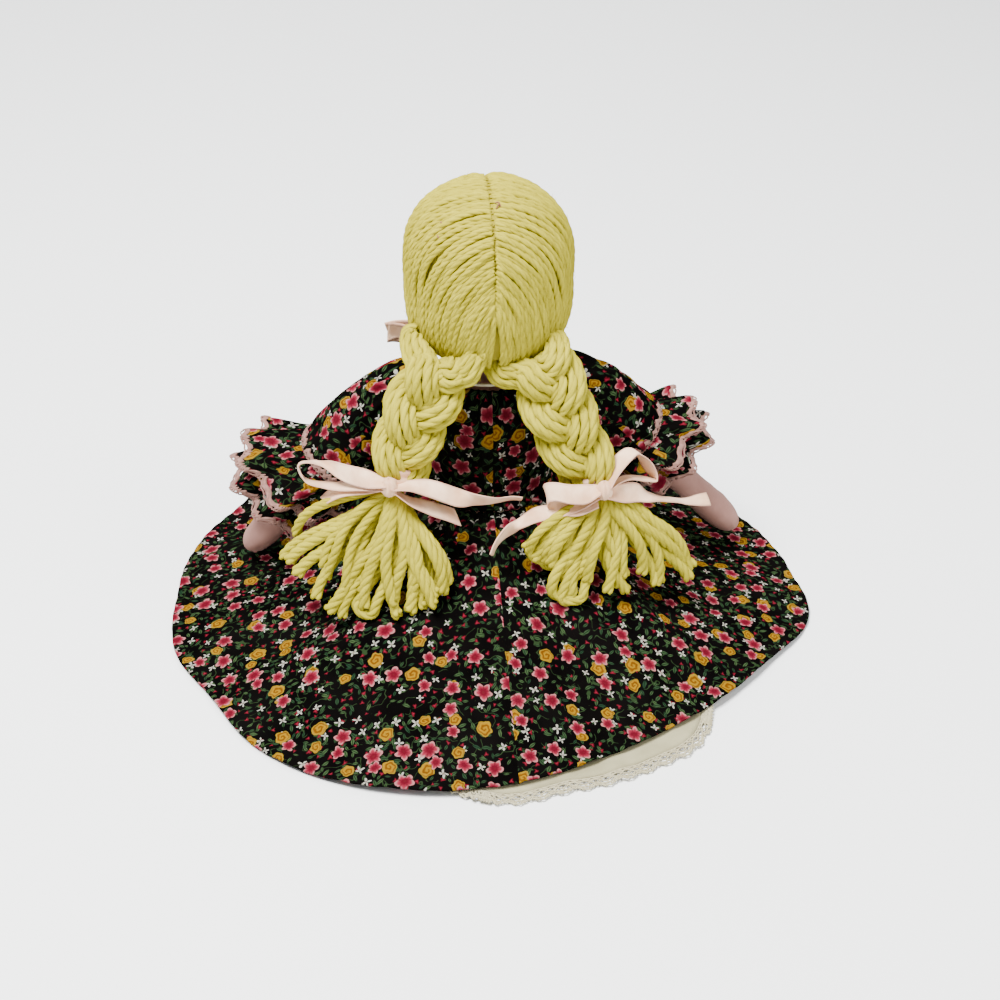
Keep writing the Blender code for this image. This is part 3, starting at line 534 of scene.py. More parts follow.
def leaves(tree, pitch, length, width, shift):
    """One scatter of pointed leaves and short stems."""
    where = tree.vector("ADD", tree.uv, (shift * 0.53, shift * 0.29, 0))
    local, (spin, lack, pick) = tree.cells(where, pitch, 0.8)
    turned = tree.nodes.new("ShaderNodeVectorRotate")
    turned.rotation_type = "Z_AXIS"
    tree.links.new(local, turned.inputs["Vector"])
    tree.links.new(tree.math("MULTIPLY", spin, TURN), turned.inputs["Angle"])
    x, y, _ = tree.split(turned.outputs[0])
    along = tree.math("DIVIDE", tree.math("ABSOLUTE", x), length)
    half = tree.math("MULTIPLY", tree.math("SUBTRACT", 1.0, tree.math("POWER", along, 1.7)), width)
    inside = tree.math("SUBTRACT", half, tree.math("ABSOLUTE", y))
    mask = tree.math("MULTIPLY", tree.between(inside, 0, 0.12 * MM), tree.math("GREATER_THAN", lack, 0.3))
    vein = tree.between(tree.math("ABSOLUTE", y), 0.05 * MM, 0.25 * MM)
    return mask, pick, vein


def print_material():
    """Black cotton with a dense scatter of small pink, yellow, red and white flowers and green leaves."""
    tree = Tree("print_cotton_finish", 1.0, gloss=0.0)
    cloud = tree.noise(tree.uv, 90, 2)
    colour = tree.mix(cloud, (0.0008, 0.0007, 0.0007), (0.0024, 0.002, 0.0019))
    lines = tree.noise(tree.stretched(150, 150), 1, 1)
    stem = tree.between(tree.math("ABSOLUTE", tree.math("SUBTRACT", lines, 0.5)), 0.006, 0.016, 1, 0)
    broken = tree.between(tree.noise(tree.uv, 210, 1), 0.45, 0.5)
    colour = tree.mix(tree.math("MULTIPLY", stem, broken), colour, (0.014, 0.028, 0.01))
    for pitch, length, width, shift in (
        (4.1 * MM, 1.5 * MM, 0.6 * MM, 1.0), (5.3 * MM, 2.0 * MM, 0.75 * MM, 2.3),
    ):
        mask, pick, vein = leaves(tree, pitch, length, width, shift)
        green = tree.mix(pick, (0.009, 0.024, 0.012), (0.034, 0.06, 0.022))
        colour = tree.mix(mask, colour, tree.mix(vein, (0.003, 0.01, 0.004), green))

    mask, share, _, _ = blossoms(tree, 4.7 * MM, 1.15 * MM, 3, 3.1, lack=0.4, depth=0.5)
    bud = tree.mix(tree.between(share, 0.2, 0.8), (0.15, 0.008, 0.02), (0.05, 0.003, 0.006))
    colour = tree.mix(mask, colour, bud)

    mask, share, _, _ = blossoms(tree, 7.8 * MM, 2.0 * MM, 4, 4.7, lack=0.45, depth=0.95)
    white = tree.mix(tree.between(share, 0.16, 0.3), (0.1, 0.06, 0.03), (0.27, 0.26, 0.22))
    colour = tree.mix(mask, colour, white)

    mask, share, turn, _ = blossoms(tree, 13.4 * MM, 3.5 * MM, 5, 6.9, lack=0.36, depth=0.14)
    swirl = tree.math("SINE", tree.math("MULTIPLY_ADD", share, 11, turn))
    inner = tree.mix(tree.between(swirl, -1.1, 1.1), (0.1, 0.035, 0.002), (0.22, 0.115, 0.005))
    rose = tree.mix(tree.between(share, 0.75, 1.0), inner, (0.2, 0.13, 0.012))
    colour = tree.mix(mask, colour, rose)

    mask, share, _, wave = blossoms(tree, 11.6 * MM, 4.0 * MM, 5, 9.4, lack=0.36, depth=0.3)
    petal = tree.mix(tree.between(share, 0.25, 0.8), (0.08, 0.003, 0.009), (0.21, 0.02, 0.036))
    petal = tree.mix(tree.between(share, 0.68, 0.92), petal, (0.3, 0.12, 0.12))
    fold = tree.between(wave, -0.95, -0.2)
    petal = tree.mix(tree.math("MULTIPLY", tree.math("SUBTRACT", 1.0, fold), 0.8), petal, (0.08, 0.004, 0.01))
    heart = tree.between(share, 0.1, 0.2, 1, 0)
    petal = tree.mix(heart, petal, (0.08, 0.006, 0.01))
    colour = tree.mix(mask, colour, petal)

    faded = tree.between(tree.noise(tree.uv, 35, 3), 0.35, 0.75, 0, 0.008)
    colour = tree.mix(faded, colour, (0.2, 0.17, 0.15))
    threads = tree.weave(0.55 * MM)
    colour = tree.mix(tree.math("MULTIPLY", threads, 0.16), colour, (0.0, 0.0, 0.0))
    coarse = tree.bump(tree.noise(tree.uv, 260, 3), 0.25 * MM, 0.5)
    return tree.finish(colour, tree.bump(threads, 0.1 * MM, 0.6, coarse))


def plain_cloth(name, light, dark, roughness, pitch):
    """Woven cotton in one colour, a little uneven, with its weave and small slubs."""
    tree = Tree(name, roughness, 0.05)
    cloud = tree.between(tree.noise(tree.uv, 55, 4), 0.3, 0.7)
    colour = tree.mix(cloud, dark, light)
    slub = tree.noise(tree.stretched(160, 2400), 1, 2)
    colour = tree.mix(tree.between(slub, 0.55, 0.8, 0, 0.25), colour, light)
    # dark is both the cloth's darker tone and the painted shade between the threads.
    return tree.cotton(colour, pitch, 0.22, dark)


def yarn_material(name, tint, deep=False):
    """Soft wool yarn: pale lemon, fuzzy, and a little different from strand to strand. With deep set, a darker
    copy of it whose colour is painted shade.
    """
    tree = Tree(name, 1.0, gloss=0.02)
    fibre = tree.noise(tree.stretched(500, 9000), 1, 4)
    strand = tree.noise(tree.stretched(9, 160), 1, 2)
    colour = tree.mix(tree.between(strand, 0.3, 0.7), (0.33, 0.28, 0.018), (0.43, 0.37, 0.03))
    colour = tree.mix(tree.between(fibre, 0.4, 0.75, 0, 0.45), colour, (0.52, 0.46, 0.05))
    colour = tree.mix(tree.between(tree.noise(tree.uv, 60, 2), 0.6, 0.8, 0, 0.35), colour, tint)
    if deep:
        # Painted shade: the yarn drawn mostly to its darker tint, for the hair's hidden lower layers.
        colour = tree.mix(0.75, colour, tint)
    fuzz = tree.bump(tree.noise(tree.stretched(1500, 5200), 1, 5), 0.35 * MM, 0.8)
    return tree.finish(colour, fuzz)


def ribbon_material():
    """Pink satin: fine ribs across, a soft gloss that changes where it was creased, and woven edges."""
    tree = Tree("ribbon_finish", 0.45, sheen=0.1, gloss=0.3)
    x, y, _ = tree.split(tree.uv)
    ribs = tree.math("SINE", tree.math("MULTIPLY", x, TURN / (0.34 * MM)))
    cloud = tree.noise(tree.uv, 85, 3)
    colour = tree.mix(tree.between(cloud, 0.3, 0.7), (0.62, 0.35, 0.2), (0.85, 0.58, 0.38))
    edge = tree.between(tree.math("ABSOLUTE", y), RIBBON_WIDTH / 2 - 0.75 * MM, RIBBON_WIDTH / 2 - 0.5 * MM)
    colour = tree.mix(tree.math("MULTIPLY", edge, 0.55), colour, (0.5, 0.27, 0.2))
    crease = tree.bump(tree.noise(tree.stretched(260, 90), 1, 2), 0.5 * MM, 0.5)
    normal = tree.bump(ribs, 0.05 * MM, 0.4, tree.bump(edge, 0.12 * MM, 0.8, crease))
    return tree.finish(colour, normal, tree.between(cloud, 0.2, 0.8, 0.34, 0.55))


def thread_material(name, light, dark, roughness=0.75, sheen=0.1):
    """Cotton thread, crochet or felt: fine fibres and a slightly uneven colour."""
    tree = Tree(name, roughness, sheen)
    colour = tree.mix(tree.between(tree.noise(tree.uv, 400, 3), 0.3, 0.7), dark, light)
    return tree.finish(colour, tree.bump(tree.noise(tree.stretched(2600, 4200), 1, 3), 0.12 * MM, 0.8))


def head_material():
    """The head's cotton, with a soft blush on both cheeks."""
    tree = Tree("head_cloth_finish", 0.9, 0.15, 0.05)
    cloud = tree.between(tree.noise(tree.uv, 55, 4), 0.3, 0.7)
    colour = tree.mix(cloud, (0.4, 0.225, 0.2), (0.47, 0.275, 0.245))
    where = tree.put("TexCoord", out=3)
    for sign in (-1, 1):
        away = tree.vector("SUBTRACT", where, (sign * 13.5 * MM, -24 * MM, 134.5 * MM))
        length = tree.put("VectorMath", away, operation="LENGTH", out=1)
        colour = tree.mix(tree.between(length, 2 * MM, 8.5 * MM, 0.5, 0), colour, (0.5, 0.13, 0.12))
    # The last colour is the painted shade between the threads.
    return tree.cotton(colour, 0.5 * MM, 0.2, (0.3, 0.15, 0.13))


FINISH = {
    "print_cotton": print_material(),
    "body_cloth": plain_cloth("body_cloth_finish", (0.37, 0.2, 0.16), (0.29, 0.15, 0.12), 0.9, 0.5 * MM),
    "head_cloth": head_material(),
    "white_cotton": plain_cloth(
        "white_cotton_finish", (0.36, 0.33, 0.195), (0.27, 0.245, 0.14), 0.88, 0.45 * MM,
    ),
    "lace": thread_material("lace_finish", (0.46, 0.42, 0.27), (0.3, 0.26, 0.16)),
    "yarn": yarn_material("yarn_finish", (0.3, 0.245, 0.016)),
    # The darker yarn is painted shade, for the scalp and the parting under the hair.
    "yarn_painted_shade": yarn_material("yarn_shade_painted_finish", (0.27, 0.22, 0.02), deep=True),
    "ribbon": ribbon_material(),
    "picot_trim": thread_material("picot_finish", (0.27, 0.145, 0.115), (0.16, 0.08, 0.062)),
    "eye_thread": thread_material("eye_thread_finish", (0.06, 0.12, 0.24), (0.02, 0.045, 0.1), 0.55, 0.3),
    "mouth_thread": thread_material("mouth_thread_finish", (0.6, 0.12, 0.13), (0.36, 0.05, 0.06), 0.55, 0.3),
    "shoe_felt": thread_material("shoe_felt_finish", (0.014, 0.012, 0.014), (0.005, 0.004, 0.005), 0.95, 0.08),
    "darn_thread": thread_material("darn_thread_finish", (0.3, 0.15, 0.06), (0.18, 0.09, 0.035)),
    "seam_thread": thread_material("seam_thread_finish", (0.5, 0.45, 0.34), (0.33, 0.29, 0.2)),
}


def settle(obj, body, slot, *nodes, padded=None):
    """Ties a finished piece to its body and hides the solids that it stands for. The slot it is given is not
    used.
    """
    if isinstance(body, str):
        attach(obj, body)
    if nodes:
        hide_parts(*nodes)
    return obj


# Surfaces of the torso and the skirt


def torso_ring(share, grown, angle):
    """Points of the torso's outline at shares of its height, grown sideways."""
    share, angle = np.broadcast_arrays(share, angle)
    width = table(TORSO_SHARES, share, 1) * HIP_HALF_WIDTH + grown
    depth = table(TORSO_SHARES, share, 2) * HIP_HALF_DEPTH + grown
    floor = CLOTH + GAP
    height = floor + share * (TORSO_HEIGHT - floor)
    return np.stack((width * np.cos(angle), depth * np.sin(angle), height), axis=-1)


def hem_radius(angle):
    spot = (np.degrees(angle) % 360) / 360 * len(HEM_SHARES)
    i = np.floor(spot).astype(int)
    t = spot - i
    a, b, c, d = (HEM_SHARES[(i + k) % len(HEM_SHARES)] for k in (-1, 0, 1, 2))
    return SKIRT_REACH * (b + 0.5 * t * (c - a + t * (2 * a - 5 * b + 4 * c - d + t * (3 * (b - c) + d - a))))


def waist_radius(angle):
    width = table(TORSO_SHARES, BODICE_BOTTOM_SHARE, 1) * HIP_HALF_WIDTH
    depth = table(TORSO_SHARES, BODICE_BOTTOM_SHARE, 2) * HIP_HALF_DEPTH
    return 1 / np.hypot(np.cos(angle) / width, np.sin(angle) / depth) + LAYER_GAP + CLOTH


def degrees_off(degrees, facing):
    """How far round the degrees are from a facing, between -180 and 180."""
    return (degrees - facing + 180) % 360 - 180


def window(degrees, facing, inner, outer):
    return 1 - smooth(np.abs(degrees_off(degrees, facing)), inner, outer)


def lift_share(degrees):
    return smooth(degrees, 50, 72) * (1 - smooth(degrees, 144, 162))


def peek_share(degrees):
    return smooth(degrees, 66, 94) * (1 - smooth(degrees, 118, 144))


# Each of the skirt's folds: where it faces, half its width, both in degrees, and its height in mm
FOLD_ANGLES = (
    (62, 5.0, 1.3), (76, 3.2, 0.9), (103, 4.0, 1.0), (118, 3.0, 1.2), (132, 5.0, 1.4), (150, 4.0, 1.1),
    (170, 5.0, 1.2), (196, 4.0, 1.0), (40, 4.0, 1.2), (22, 5.0, 1.0), (2, 4.0, 1.1), (-20, 5.0, 1.2),
    (-60, 4.0, 1.0), (-95, 5.0, 1.3), (-125, 4.0, 1.1), (-150, 4.0, 1.0),
)


def skirt_height(angle, radius, fine=1.0):
    """The height of the skirt's upper face, with its folds, gathers and hem."""
    degrees = np.degrees(angle) % 360
    inner, outer = waist_radius(angle), hem_radius(angle)
    share = np.clip((radius - inner) / (outer - inner), 0, 1)
    front = window(degrees, -90, 32, 58)
    back = window(degrees, 90, 40, 85) * (1 - front)
    rise = (
        front * table(FRONT_PROFILE, share) + back * table(BACK_PROFILE, share)
        + (1 - front - back) * table(SIDE_PROFILE, share)
    )
    hem = CLOTH + 2.4 * MM * lift_share(degrees)
    body = np.sin(math.pi * share) ** 2
    fold = 1.5 * MM * body * np.cos(np.radians(9 * (degrees - 90)))
    ridges = 0
    for facing, wide, high in FOLD_ANGLES:
        off = degrees_off(degrees, facing + 5 * np.sin(3 * share + facing))
        ridges = ridges + high * MM * bell(off, wide)
    ridges = ridges * smooth(share, 0.12, 0.5) * (1 - smooth(share, 0.8, 1.0))
    gathers = (0.55 * np.sin(54 * angle) + 0.35 * np.sin(33 * angle + 1)) * (1 - smooth(share, 0.02, 0.3)) * MM
    return hem + rise * (WAIST_HEIGHT - hem) + fold + fine * (ridges + gathers)


def skirt_net(angle, share_rows, radius_of, below, fine=1.0):
    """Points on the skirt's face or beneath it: rows are shares between two radii, columns are angles."""
    inner, outer = radius_of
    angle = np.asarray(angle)[None, :]
    radius = inner(angle) + np.asarray(share_rows)[:, None] * (outer(angle) - inner(angle))
    height = skirt_height(angle, radius, fine)
    above, under = (skirt_height(angle, radius + step, fine) for step in (CLOTH, -CLOTH))
    slope = (above - under) / (2 * CLOTH)
    out = joined(np.cos(angle), np.sin(angle), 0 * radius)
    points = out * radius[..., None] + UP * height[..., None]
    normal = unit(UP - out * slope[..., None])
    return points - normal * below, normal


def polar_uv(points, angle, start):
    """The cloth laid flat: its length from the middle, at the same angle."""
    run = np.linalg.norm(np.diff(points, axis=0), axis=-1).cumsum(axis=0)
    run = np.concatenate((np.zeros_like(run[:1]), run)) + start
    angle = np.asarray(angle)[None, :]
    return np.stack((run * np.cos(angle), run * np.sin(angle)), axis=-1)


def seamed_angles(steps):
    """Angles once round from the back, with 1 for those past the seam in front, whose angle comes twice."""
    half = steps // 2
    index = np.sort(np.append(np.arange(steps + 1), half))
    return math.pi / 2 + TURN * index / steps, np.where(np.arange(steps + 2) > half, 1.0, 0.0)


def off_back(angles):
    """How far round the angles are from the middle of the back, as one row of a net."""
    return np.abs((angles - math.pi / 2 + math.pi) % TURN - math.pi)[None, :]


def make_skirt():
    angles, panel = seamed_angles(420)
    hem = (0.98, 0.985, 0.995, 1.0)
    rows = np.concatenate((np.linspace(0, 0.3, 26), np.linspace(0.3, 0.97, 44)[1:], hem))
    points, normal = skirt_net(angles, rows, (waist_radius, hem_radius), 0)
    share = rows[:, None]
    off = off_back(angles) * 80
    ridge = 0.55 * bell(off - 1.0, 0.7) - 0.5 * bell(off, 0.35)
    hem_line = -0.35 * bell(share - 0.955, 0.004) + 0.3 * smooth(share, 0.957, 0.965)
    puckers = 0.22 * np.sin(angles * 95)[None, :] * smooth(share, 0.9, 0.95)
    crumple = wobble(points, 9 * MM, 0.5, 1) * smooth(share, 0.05, 0.2)
    points = points + normal * ((ridge + hem_line + puckers + crumple) * MM)[..., None]
    points[..., 2] = np.maximum(points[..., 2], CLOTH)
    uv = polar_uv(points, angles, 20 * MM) + panel[None, :, None] * (0.31, 0.17)
    piece = cloth_piece("skirt_cloth", "print_cotton", points[:, :-1], uv, 0.55 * MM)
    settle(piece, "torso", "print_cotton", "skirt")


def petticoat_radius(angle):
    """The petticoat's edge: it shows at the back on the doll's right, less towards the middle of the back."""
    degrees = np.degrees(angle) % 360
    drawn_in = 7 * bell(degrees - 95, 10) + 2.2 * bell(degrees - 114, 9)
    return hem_radius(angle) - 19 * MM + 29 * MM * peek_share(degrees) - drawn_in * MM


def frill(points, normal, share, angle):
    """A petticoat's looser edge: it waves a little, more where it shows."""
    wave = np.sin(angle * 31) * 0.6 + np.sin(angle * 47 + 2) * 0.4
    return points + normal * (wave * 0.75 * MM * smooth(share, 0.6, 1.0))[..., None]


def lace_radius(angle):
    return petticoat_radius(angle) + 7 * MM


def make_petticoat():
    angles = round_angles(300)
    rows = np.linspace(0.1, 1, 44)
    points, normal = skirt_net(angles, rows, (waist_radius, petticoat_radius), 2.0 * MM, fine=0.35)
    points = frill(points, normal, rows[:, None], angles[None, :])
    points[..., 2] = np.maximum(points[..., 2], 1.2 * MM)
    uv = polar_uv(np.concatenate((points, points[:, :1]), axis=1), np.append(angles, TURN), 30 * MM)
    piece = cloth_piece("petticoat_cloth", "white_cotton", points, uv, 0.45 * MM)
    settle(piece, "torso", "white_cotton", "petticoat")
    edge, edge_normal = skirt_net(angles, (0.0, 1.0), (petticoat_radius, lace_radius), 2.0 * MM, fine=0.35)
    edge = frill(edge, edge_normal, np.ones((2, 1)), angles[None, :])
    edge[..., 2] = np.maximum(edge[..., 2], 1.0 * MM)
    out = unit(edge[1] - edge[0])
    lace = lace_band("petticoat_edging", edge[0], out, edge_normal[0], 6.2 * MM, 124, 0.33 * MM)
    settle(lace, "torso", "lace", "petticoat_lace")


def resampled(edge, out, normal, count):
    """A closed edge and its directions out and up, in even steps."""
    rows = closed(np.concatenate((edge, out, normal), axis=1))
    run = lines_length(rows)
    at = np.linspace(0, run[-1], count, endpoint=False)
    rows = np.column_stack([np.interp(at, run, column) for column in rows.T])
    return rows[:, :3], unit(rows[:, 3:6]), unit(rows[:, 6:])


def add_loop(build, line, normal, radius, sides, tag):
    """A thread along a closed line that lies on a cloth with this normal."""
    run = unit(np.roll(line, -1, axis=0) - np.roll(line, 1, axis=0))
    out = unit(np.cross(run, normal))
    lift = np.cross(out, run)
    angle = TURN * np.arange(sides) / sides
    ring = out[:, None] * np.cos(angle)[None, :, None] + lift[:, None] * np.sin(angle)[None, :, None]
    uv = joined(lines_length(closed(line))[:, None], np.arange(sides + 1)[None, :] * 0.002 + tag)
    build.grid(closed(line[:, None] + ring * radius), uv, True)


def lace_band(name, inner, out, normal, width, scallops, thread):
    """Crochet lace: a netted band along a closed line, with scallops, fans and picots at its edge."""
    steps = scallops * 16
    inner, out, normal = resampled(inner, out, normal, steps)
    phase = np.arange(steps) / 16 * math.pi
    build = Build()

    def line(reach, lift=0.0):
        return inner + out * (np.broadcast_to(reach, phase.shape) * width)[:, None] + normal * lift

    arch = np.abs(np.sin(phase))
    picots = 0.035 * np.sin(phase * 8)
    for reach, lift in (
        (0.0, 0.0), (0.05, 0.3 * thread), (0.2, 0.0), (0.125 + 0.075 * np.sin(phase * 4), 0.6 * thread),
        (0.36 + 0.16 * np.cos(phase * 2), 0.4 * thread), (0.36 - 0.16 * np.cos(phase * 2), 0.0),
        (0.5 + 0.24 * arch, 0.5 * thread), (0.58 + 0.36 * arch + picots, 0.0),
        (0.66 + 0.12 * np.cos(phase * 6) + 0.1 * arch, 0.3 * thread),
    ):
        add_loop(build, line(reach, lift), normal, thread, 5, 0.01 * len(build.points))
    return build.done(name, "lace")


def make_bodice():
    angles, panel = seamed_angles(240)
    share = np.linspace(BODICE_BOTTOM_SHARE, BODICE_TOP_SHARE, 54)[:, None]
    points = torso_ring(share, LAYER_GAP + 0.1 * MM, angles[None, :])
    out = outward(points)
    up = (share - BODICE_BOTTOM_SHARE) / (BODICE_TOP_SHARE - BODICE_BOTTOM_SHARE)
    gathers = (0.5 * np.sin(46 * angles) + 0.3 * np.sin(29 * angles + 2))[None, :]
    gathers = gathers * (1 - smooth(up, 0.0, 0.28))
    neck = smooth(up, 0.82, 1.0) * 0.3 * np.sin(38 * angles)[None, :]
    off = off_back(angles) * 20
    placket = 0.5 * smooth(off, 3.3, 2.7) - 0.35 * bell(off, 0.3)
    band = 0.5 * (1 - smooth(up, 0.02, 0.05)) + 0.45 * smooth(up, 0.95, 0.965)
    swell = gathers + neck + placket + band + wobble(points, 8 * MM, 0.55, 4)
    points = points + out * ((0.35 + swell) * MM)[..., None]
    run = np.cumsum(np.linalg.norm(np.diff(points, axis=1), axis=-1), axis=1)
    run = np.concatenate((np.zeros_like(run[:, :1]), run), axis=1)
    uv = joined(run[len(run) // 2][None, :], points[..., 2] + 0.083 * panel[None, :])
    piece = cloth_piece("bodice_cloth", "print_cotton", points[::-1, :-1], uv[::-1], 0.55 * MM)
    settle(piece, "torso", "print_cotton", "bodice")
    ring = round_angles(200)
    inner = torso_ring(np.full(200, COLLAR_SHARE), LAYER_GAP, ring)
    flat = outward(inner)
    out = unit(flat + UP * 0.75)
    lift = unit(UP - flat * 0.75)
    inner = inner + flat * 0.6 * MM + UP * 0.3 * MM
    collar = lace_band("collar_frill", inner, out, lift, 4.4 * MM, 20, 0.36 * MM)
    settle(collar, "torso", "lace", "collar_lace")


# Sleeves, flounces and their trims


class ArmFrame:
    """Directions along and across one arm, and places on its line."""

    def __init__(self, side):
        sign = SIDES[side]
        self.start = SHOULDER * (sign, 1, 1)
        run = HAND_TIP[side] - self.start
        self.length = np.linalg.norm(run)
        self.along = run / self.length
        self.back = -sign * unit(np.cross(self.along, UP))
        self.lift = unit(UP - self.along * (self.along @ UP))

    def at(self, share, lift=0.0):
        share, lift = np.broadcast_arrays(share, lift)
        return self.start + self.along * (self.length * share)[..., None] + self.lift * lift[..., None]

    def net(self, share, radius, angle, lift=0.0, flat=1.0):
        """Points round the arm: share, radius, lift and flatness go by row, angle by column."""
        share, lift, flat = (np.broadcast_to(v, np.shape(share)) for v in (share, lift, flat))
        wide, tall = np.cos(angle)[None, :, None], np.sin(angle)[None, :, None]
        out = self.back * wide + self.lift * tall * flat[:, None, None]
        return self.at(share, lift)[:, None] + out * radius[..., None]


def mean_run(points):
    """Distance along a net's rows, meaned over its columns."""
    run = np.linalg.norm(np.diff(points, axis=0), axis=-1).mean(axis=1).cumsum()
    return np.concatenate(((0.0,), run))


def wrapped_uv(angle, radius, run):
    """Cloth coordinates of a net that closes on itself: round it and along it."""
    return joined(np.append(angle, TURN)[None, :] * radius, run[:, None])


PUFF = np.array(((0, 0), (0.12, 0.34), (0.3, 0.68), (0.55, 0.95), (0.8, 1.0), (0.93, 0.9), (1, 0.72)))


def make_sleeve(arm, side):
    sign = SIDES[side]
    first, last = 3 * MM / arm.length, SLEEVE_END_SHARE[side]
    angle = round_angles(144)
    up = np.linspace(0, 1, 46)
    share = first + up * (last - first)
    pleats = np.sin(22 * angle + 0.6)[None, :] * 0.7 + np.sin(13 * angle + 2)[None, :] * 0.5
    tight = (1 - smooth(up, 0, 0.45) + smooth(up, 0.7, 1))[:, None]
    radius = (11.9 * MM + 4.6 * MM * table(PUFF, up))[:, None] + pleats * tight * 0.75 * MM
    points = arm.net(share, radius, angle)
    points = points + unit(points - arm.at(share)[:, None]) * wobble(points, 9 * MM, 0.8 * MM, 2)[..., None]
    # The head of the sleeve closes over the shoulder and is sewn to the bodice.
    seat = np.array((sign * 23.5 * MM, 0.2 * MM, 94.5 * MM))
    order = points[0] - points[0].mean(axis=0)
    turn = np.arctan2(order[:, 2], order[:, 1])
    ring = seat + joined(0.0, np.cos(turn) * 11.5 * MM, np.sin(turn) * 14 * MM)
    steps = np.linspace(0, 1, 12)[:-1, None, None]
    bulge = unit(ring - seat + UP * 4 * MM) * (2.4 * MM + pleats[0] * 0.4 * MM)[:, None]
    head = ring[None] * (1 - steps) + points[:1] * steps + bulge[None] * np.sin(math.pi * steps)
    points = np.concatenate((head, points))
    uv = wrapped_uv(angle, 15.5 * MM, mean_run(points)) + (0.4 * sign, 0)
    piece = cloth_piece("sleeve_cloth_" + side, "print_cotton", points, uv, 0.5 * MM)
    return piece, elbow_trim(arm, side, last, radius[-1].mean() + 1.0 * MM)


RUFFLES = 8
# Each flounce's share of the arm, its radius at the edge and how far it is lifted
FLOUNCES = {
    "outer_flounce": {"left": (0.155, 23.5 * MM, 8.5 * MM), "right": (0.085, 20.2 * MM, 5.0 * MM)},
    "inner_flounce": {"left": (0.265, 20.5 * MM, 7.5 * MM), "right": (0.172, 18.2 * MM, 5.4 * MM)},
}


def ruffle(angle, seed):
    return np.cos(RUFFLES * angle) + 0.35 * np.cos(5 * angle + seed) + 0.4 * np.cos(13 * angle + 2 * seed)


def flounce_line(arm, reach, spec, angle):
    """Points of a flounce at shares of its length, past 1 for the trim beyond its edge."""
    start_share, end_share, start_radius, end_radius, lift, seed = spec
    reach = np.asarray(reach, float)
    share = start_share + reach * (end_share - start_share)
    swell = (start_radius + reach * (end_radius - start_radius))[:, None]
    wave = ruffle(angle, seed)[None, :] * 2.3 * MM * np.minimum(reach, 1)[:, None] ** 0.8
    gathers = np.sin(37 * angle + seed)[None, :] * 0.5 * MM * (1 - smooth(reach, 0.05, 0.7))[:, None]
    net = arm.net(share, swell + wave + gathers, angle, lift * reach)
    droop = np.sin(RUFFLES * angle + 0.8)[None, :] * 1.1 * MM * np.minimum(reach, 1)[:, None] ** 2
    return net + arm.along * droop[..., None]


def make_flounce(arm, side, name, spec):
    angle = round_angles(300)
    reach = np.concatenate((np.linspace(0, 0.94, 22), (0.96, 0.98, 1.0)))
    points = flounce_line(arm, reach, spec, angle)
    points = points + arm.lift * wobble(points, 7 * MM, 0.5 * MM, spec[-1])[..., None]
    uv = wrapped_uv(angle, spec[3], mean_run(points) + 0.2 * spec[-1])
    return cloth_piece(name + "_cloth_" + side, "print_cotton", points, uv, 0.5 * MM)


BRAID_WIDTH = 2.5 * MM
BRAID_PITCH = 2.7 * MM
BRAID_SWAY = 0.6 * MM
BRAID_THICKNESS = 1.1 * MM
# The braid's section, as shares of its width and thickness
BRAID_SECTION = (
    (-0.5, 0), (-0.38, 0.42), (-0.13, 0.5), (0, 0.36), (0.13, 0.5), (0.38, 0.42), (0.5, 0), (0.38, -0.42),
    (0, -0.5), (-0.38, -0.42),
)


def ric_rac(edge, out, normal, name):
    """A woven zigzag braid along a closed line, with small loops on its outer side."""
    waves = int(round(lines_length(closed(edge))[-1] / BRAID_PITCH))
    edge, out, normal = resampled(edge, out, normal, waves * 10)
    phase = np.arange(waves * 10) / 10 * TURN
    middle = edge + out * (BRAID_SWAY * np.sin(phase))[:, None]
    columns = [
        middle + out * (across * BRAID_WIDTH) + normal * (lift * BRAID_THICKNESS)
        for across, lift in BRAID_SECTION
    ]
    uv = joined(lines_length(closed(edge))[:, None], np.arange(len(columns) + 1)[None, :] * 0.0008)
    build = Build().grid(closed(np.stack(columns, axis=1)), uv, True)
    reach = BRAID_SWAY + 0.45 * BRAID_WIDTH + 0.5 * BRAID_SWAY * np.sin(phase * 2)
    add_loop(build, edge + out * reach[:, None], normal, 0.32 * MM, 5, 0.05)
    return build.done(name, "picot_trim")


def elbow_trim(arm, side, last, radius):
    """The braid over the seam between a sleeve and its flounces."""
    angle = round_angles(240)
    net = arm.net(np.array((last - 3.0 * MM / arm.length, last)), np.full((2, len(angle)), radius), angle)
    normal = unit(net[1] - arm.at(last)[None])
    return ric_rac(net.mean(axis=0), unit(net[1] - net[0]), normal, "elbow_picot_" + side)


def make_arm_dress(side):
    body = "arm_" + side
    arm = ArmFrame(side)
    sleeve, trim = make_sleeve(arm, side)
    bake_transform(sleeve)
    settle(sleeve, None, "print_cotton", "sleeve_" + side)
    settle(trim, body, "picot_trim", "elbow_trim_" + side)
    seam = SLEEVE_END_SHARE[side] - 0.004
    end = 14.6 * MM
    for name, start_radius, seed in (("outer_flounce", end, 1.0), ("inner_flounce", end - 1.6 * MM, 2.0)):
        run, end_radius, lift = FLOUNCES[name][side]
        spec = (seam, seam + 0.007 + run, start_radius, end_radius, lift, seed)
        settle(make_flounce(arm, side, name, spec), body, "print_cotton", f"{name}_{side}")
        angle = round_angles(400)
        past = 1 + 0.5 * MM / (run * arm.length)
        edge = flounce_line(arm, (0.97, past), spec, angle)
        out = unit(edge[1] - edge[0])
        across = unit(np.roll(edge[1], -1, axis=0) - np.roll(edge[1], 1, axis=0))
        trim = ric_rac(edge[1], out, unit(np.cross(across, out)), f"{name}_picot_{side}")
        settle(trim, body, "picot_trim", f"{name}_trim_{side}")


make_skirt()
make_petticoat()
make_bodice()
for side_name in SIDES:
    make_arm_dress(side_name)


# Stuffed cloth: torso, head, arms, legs and shoes

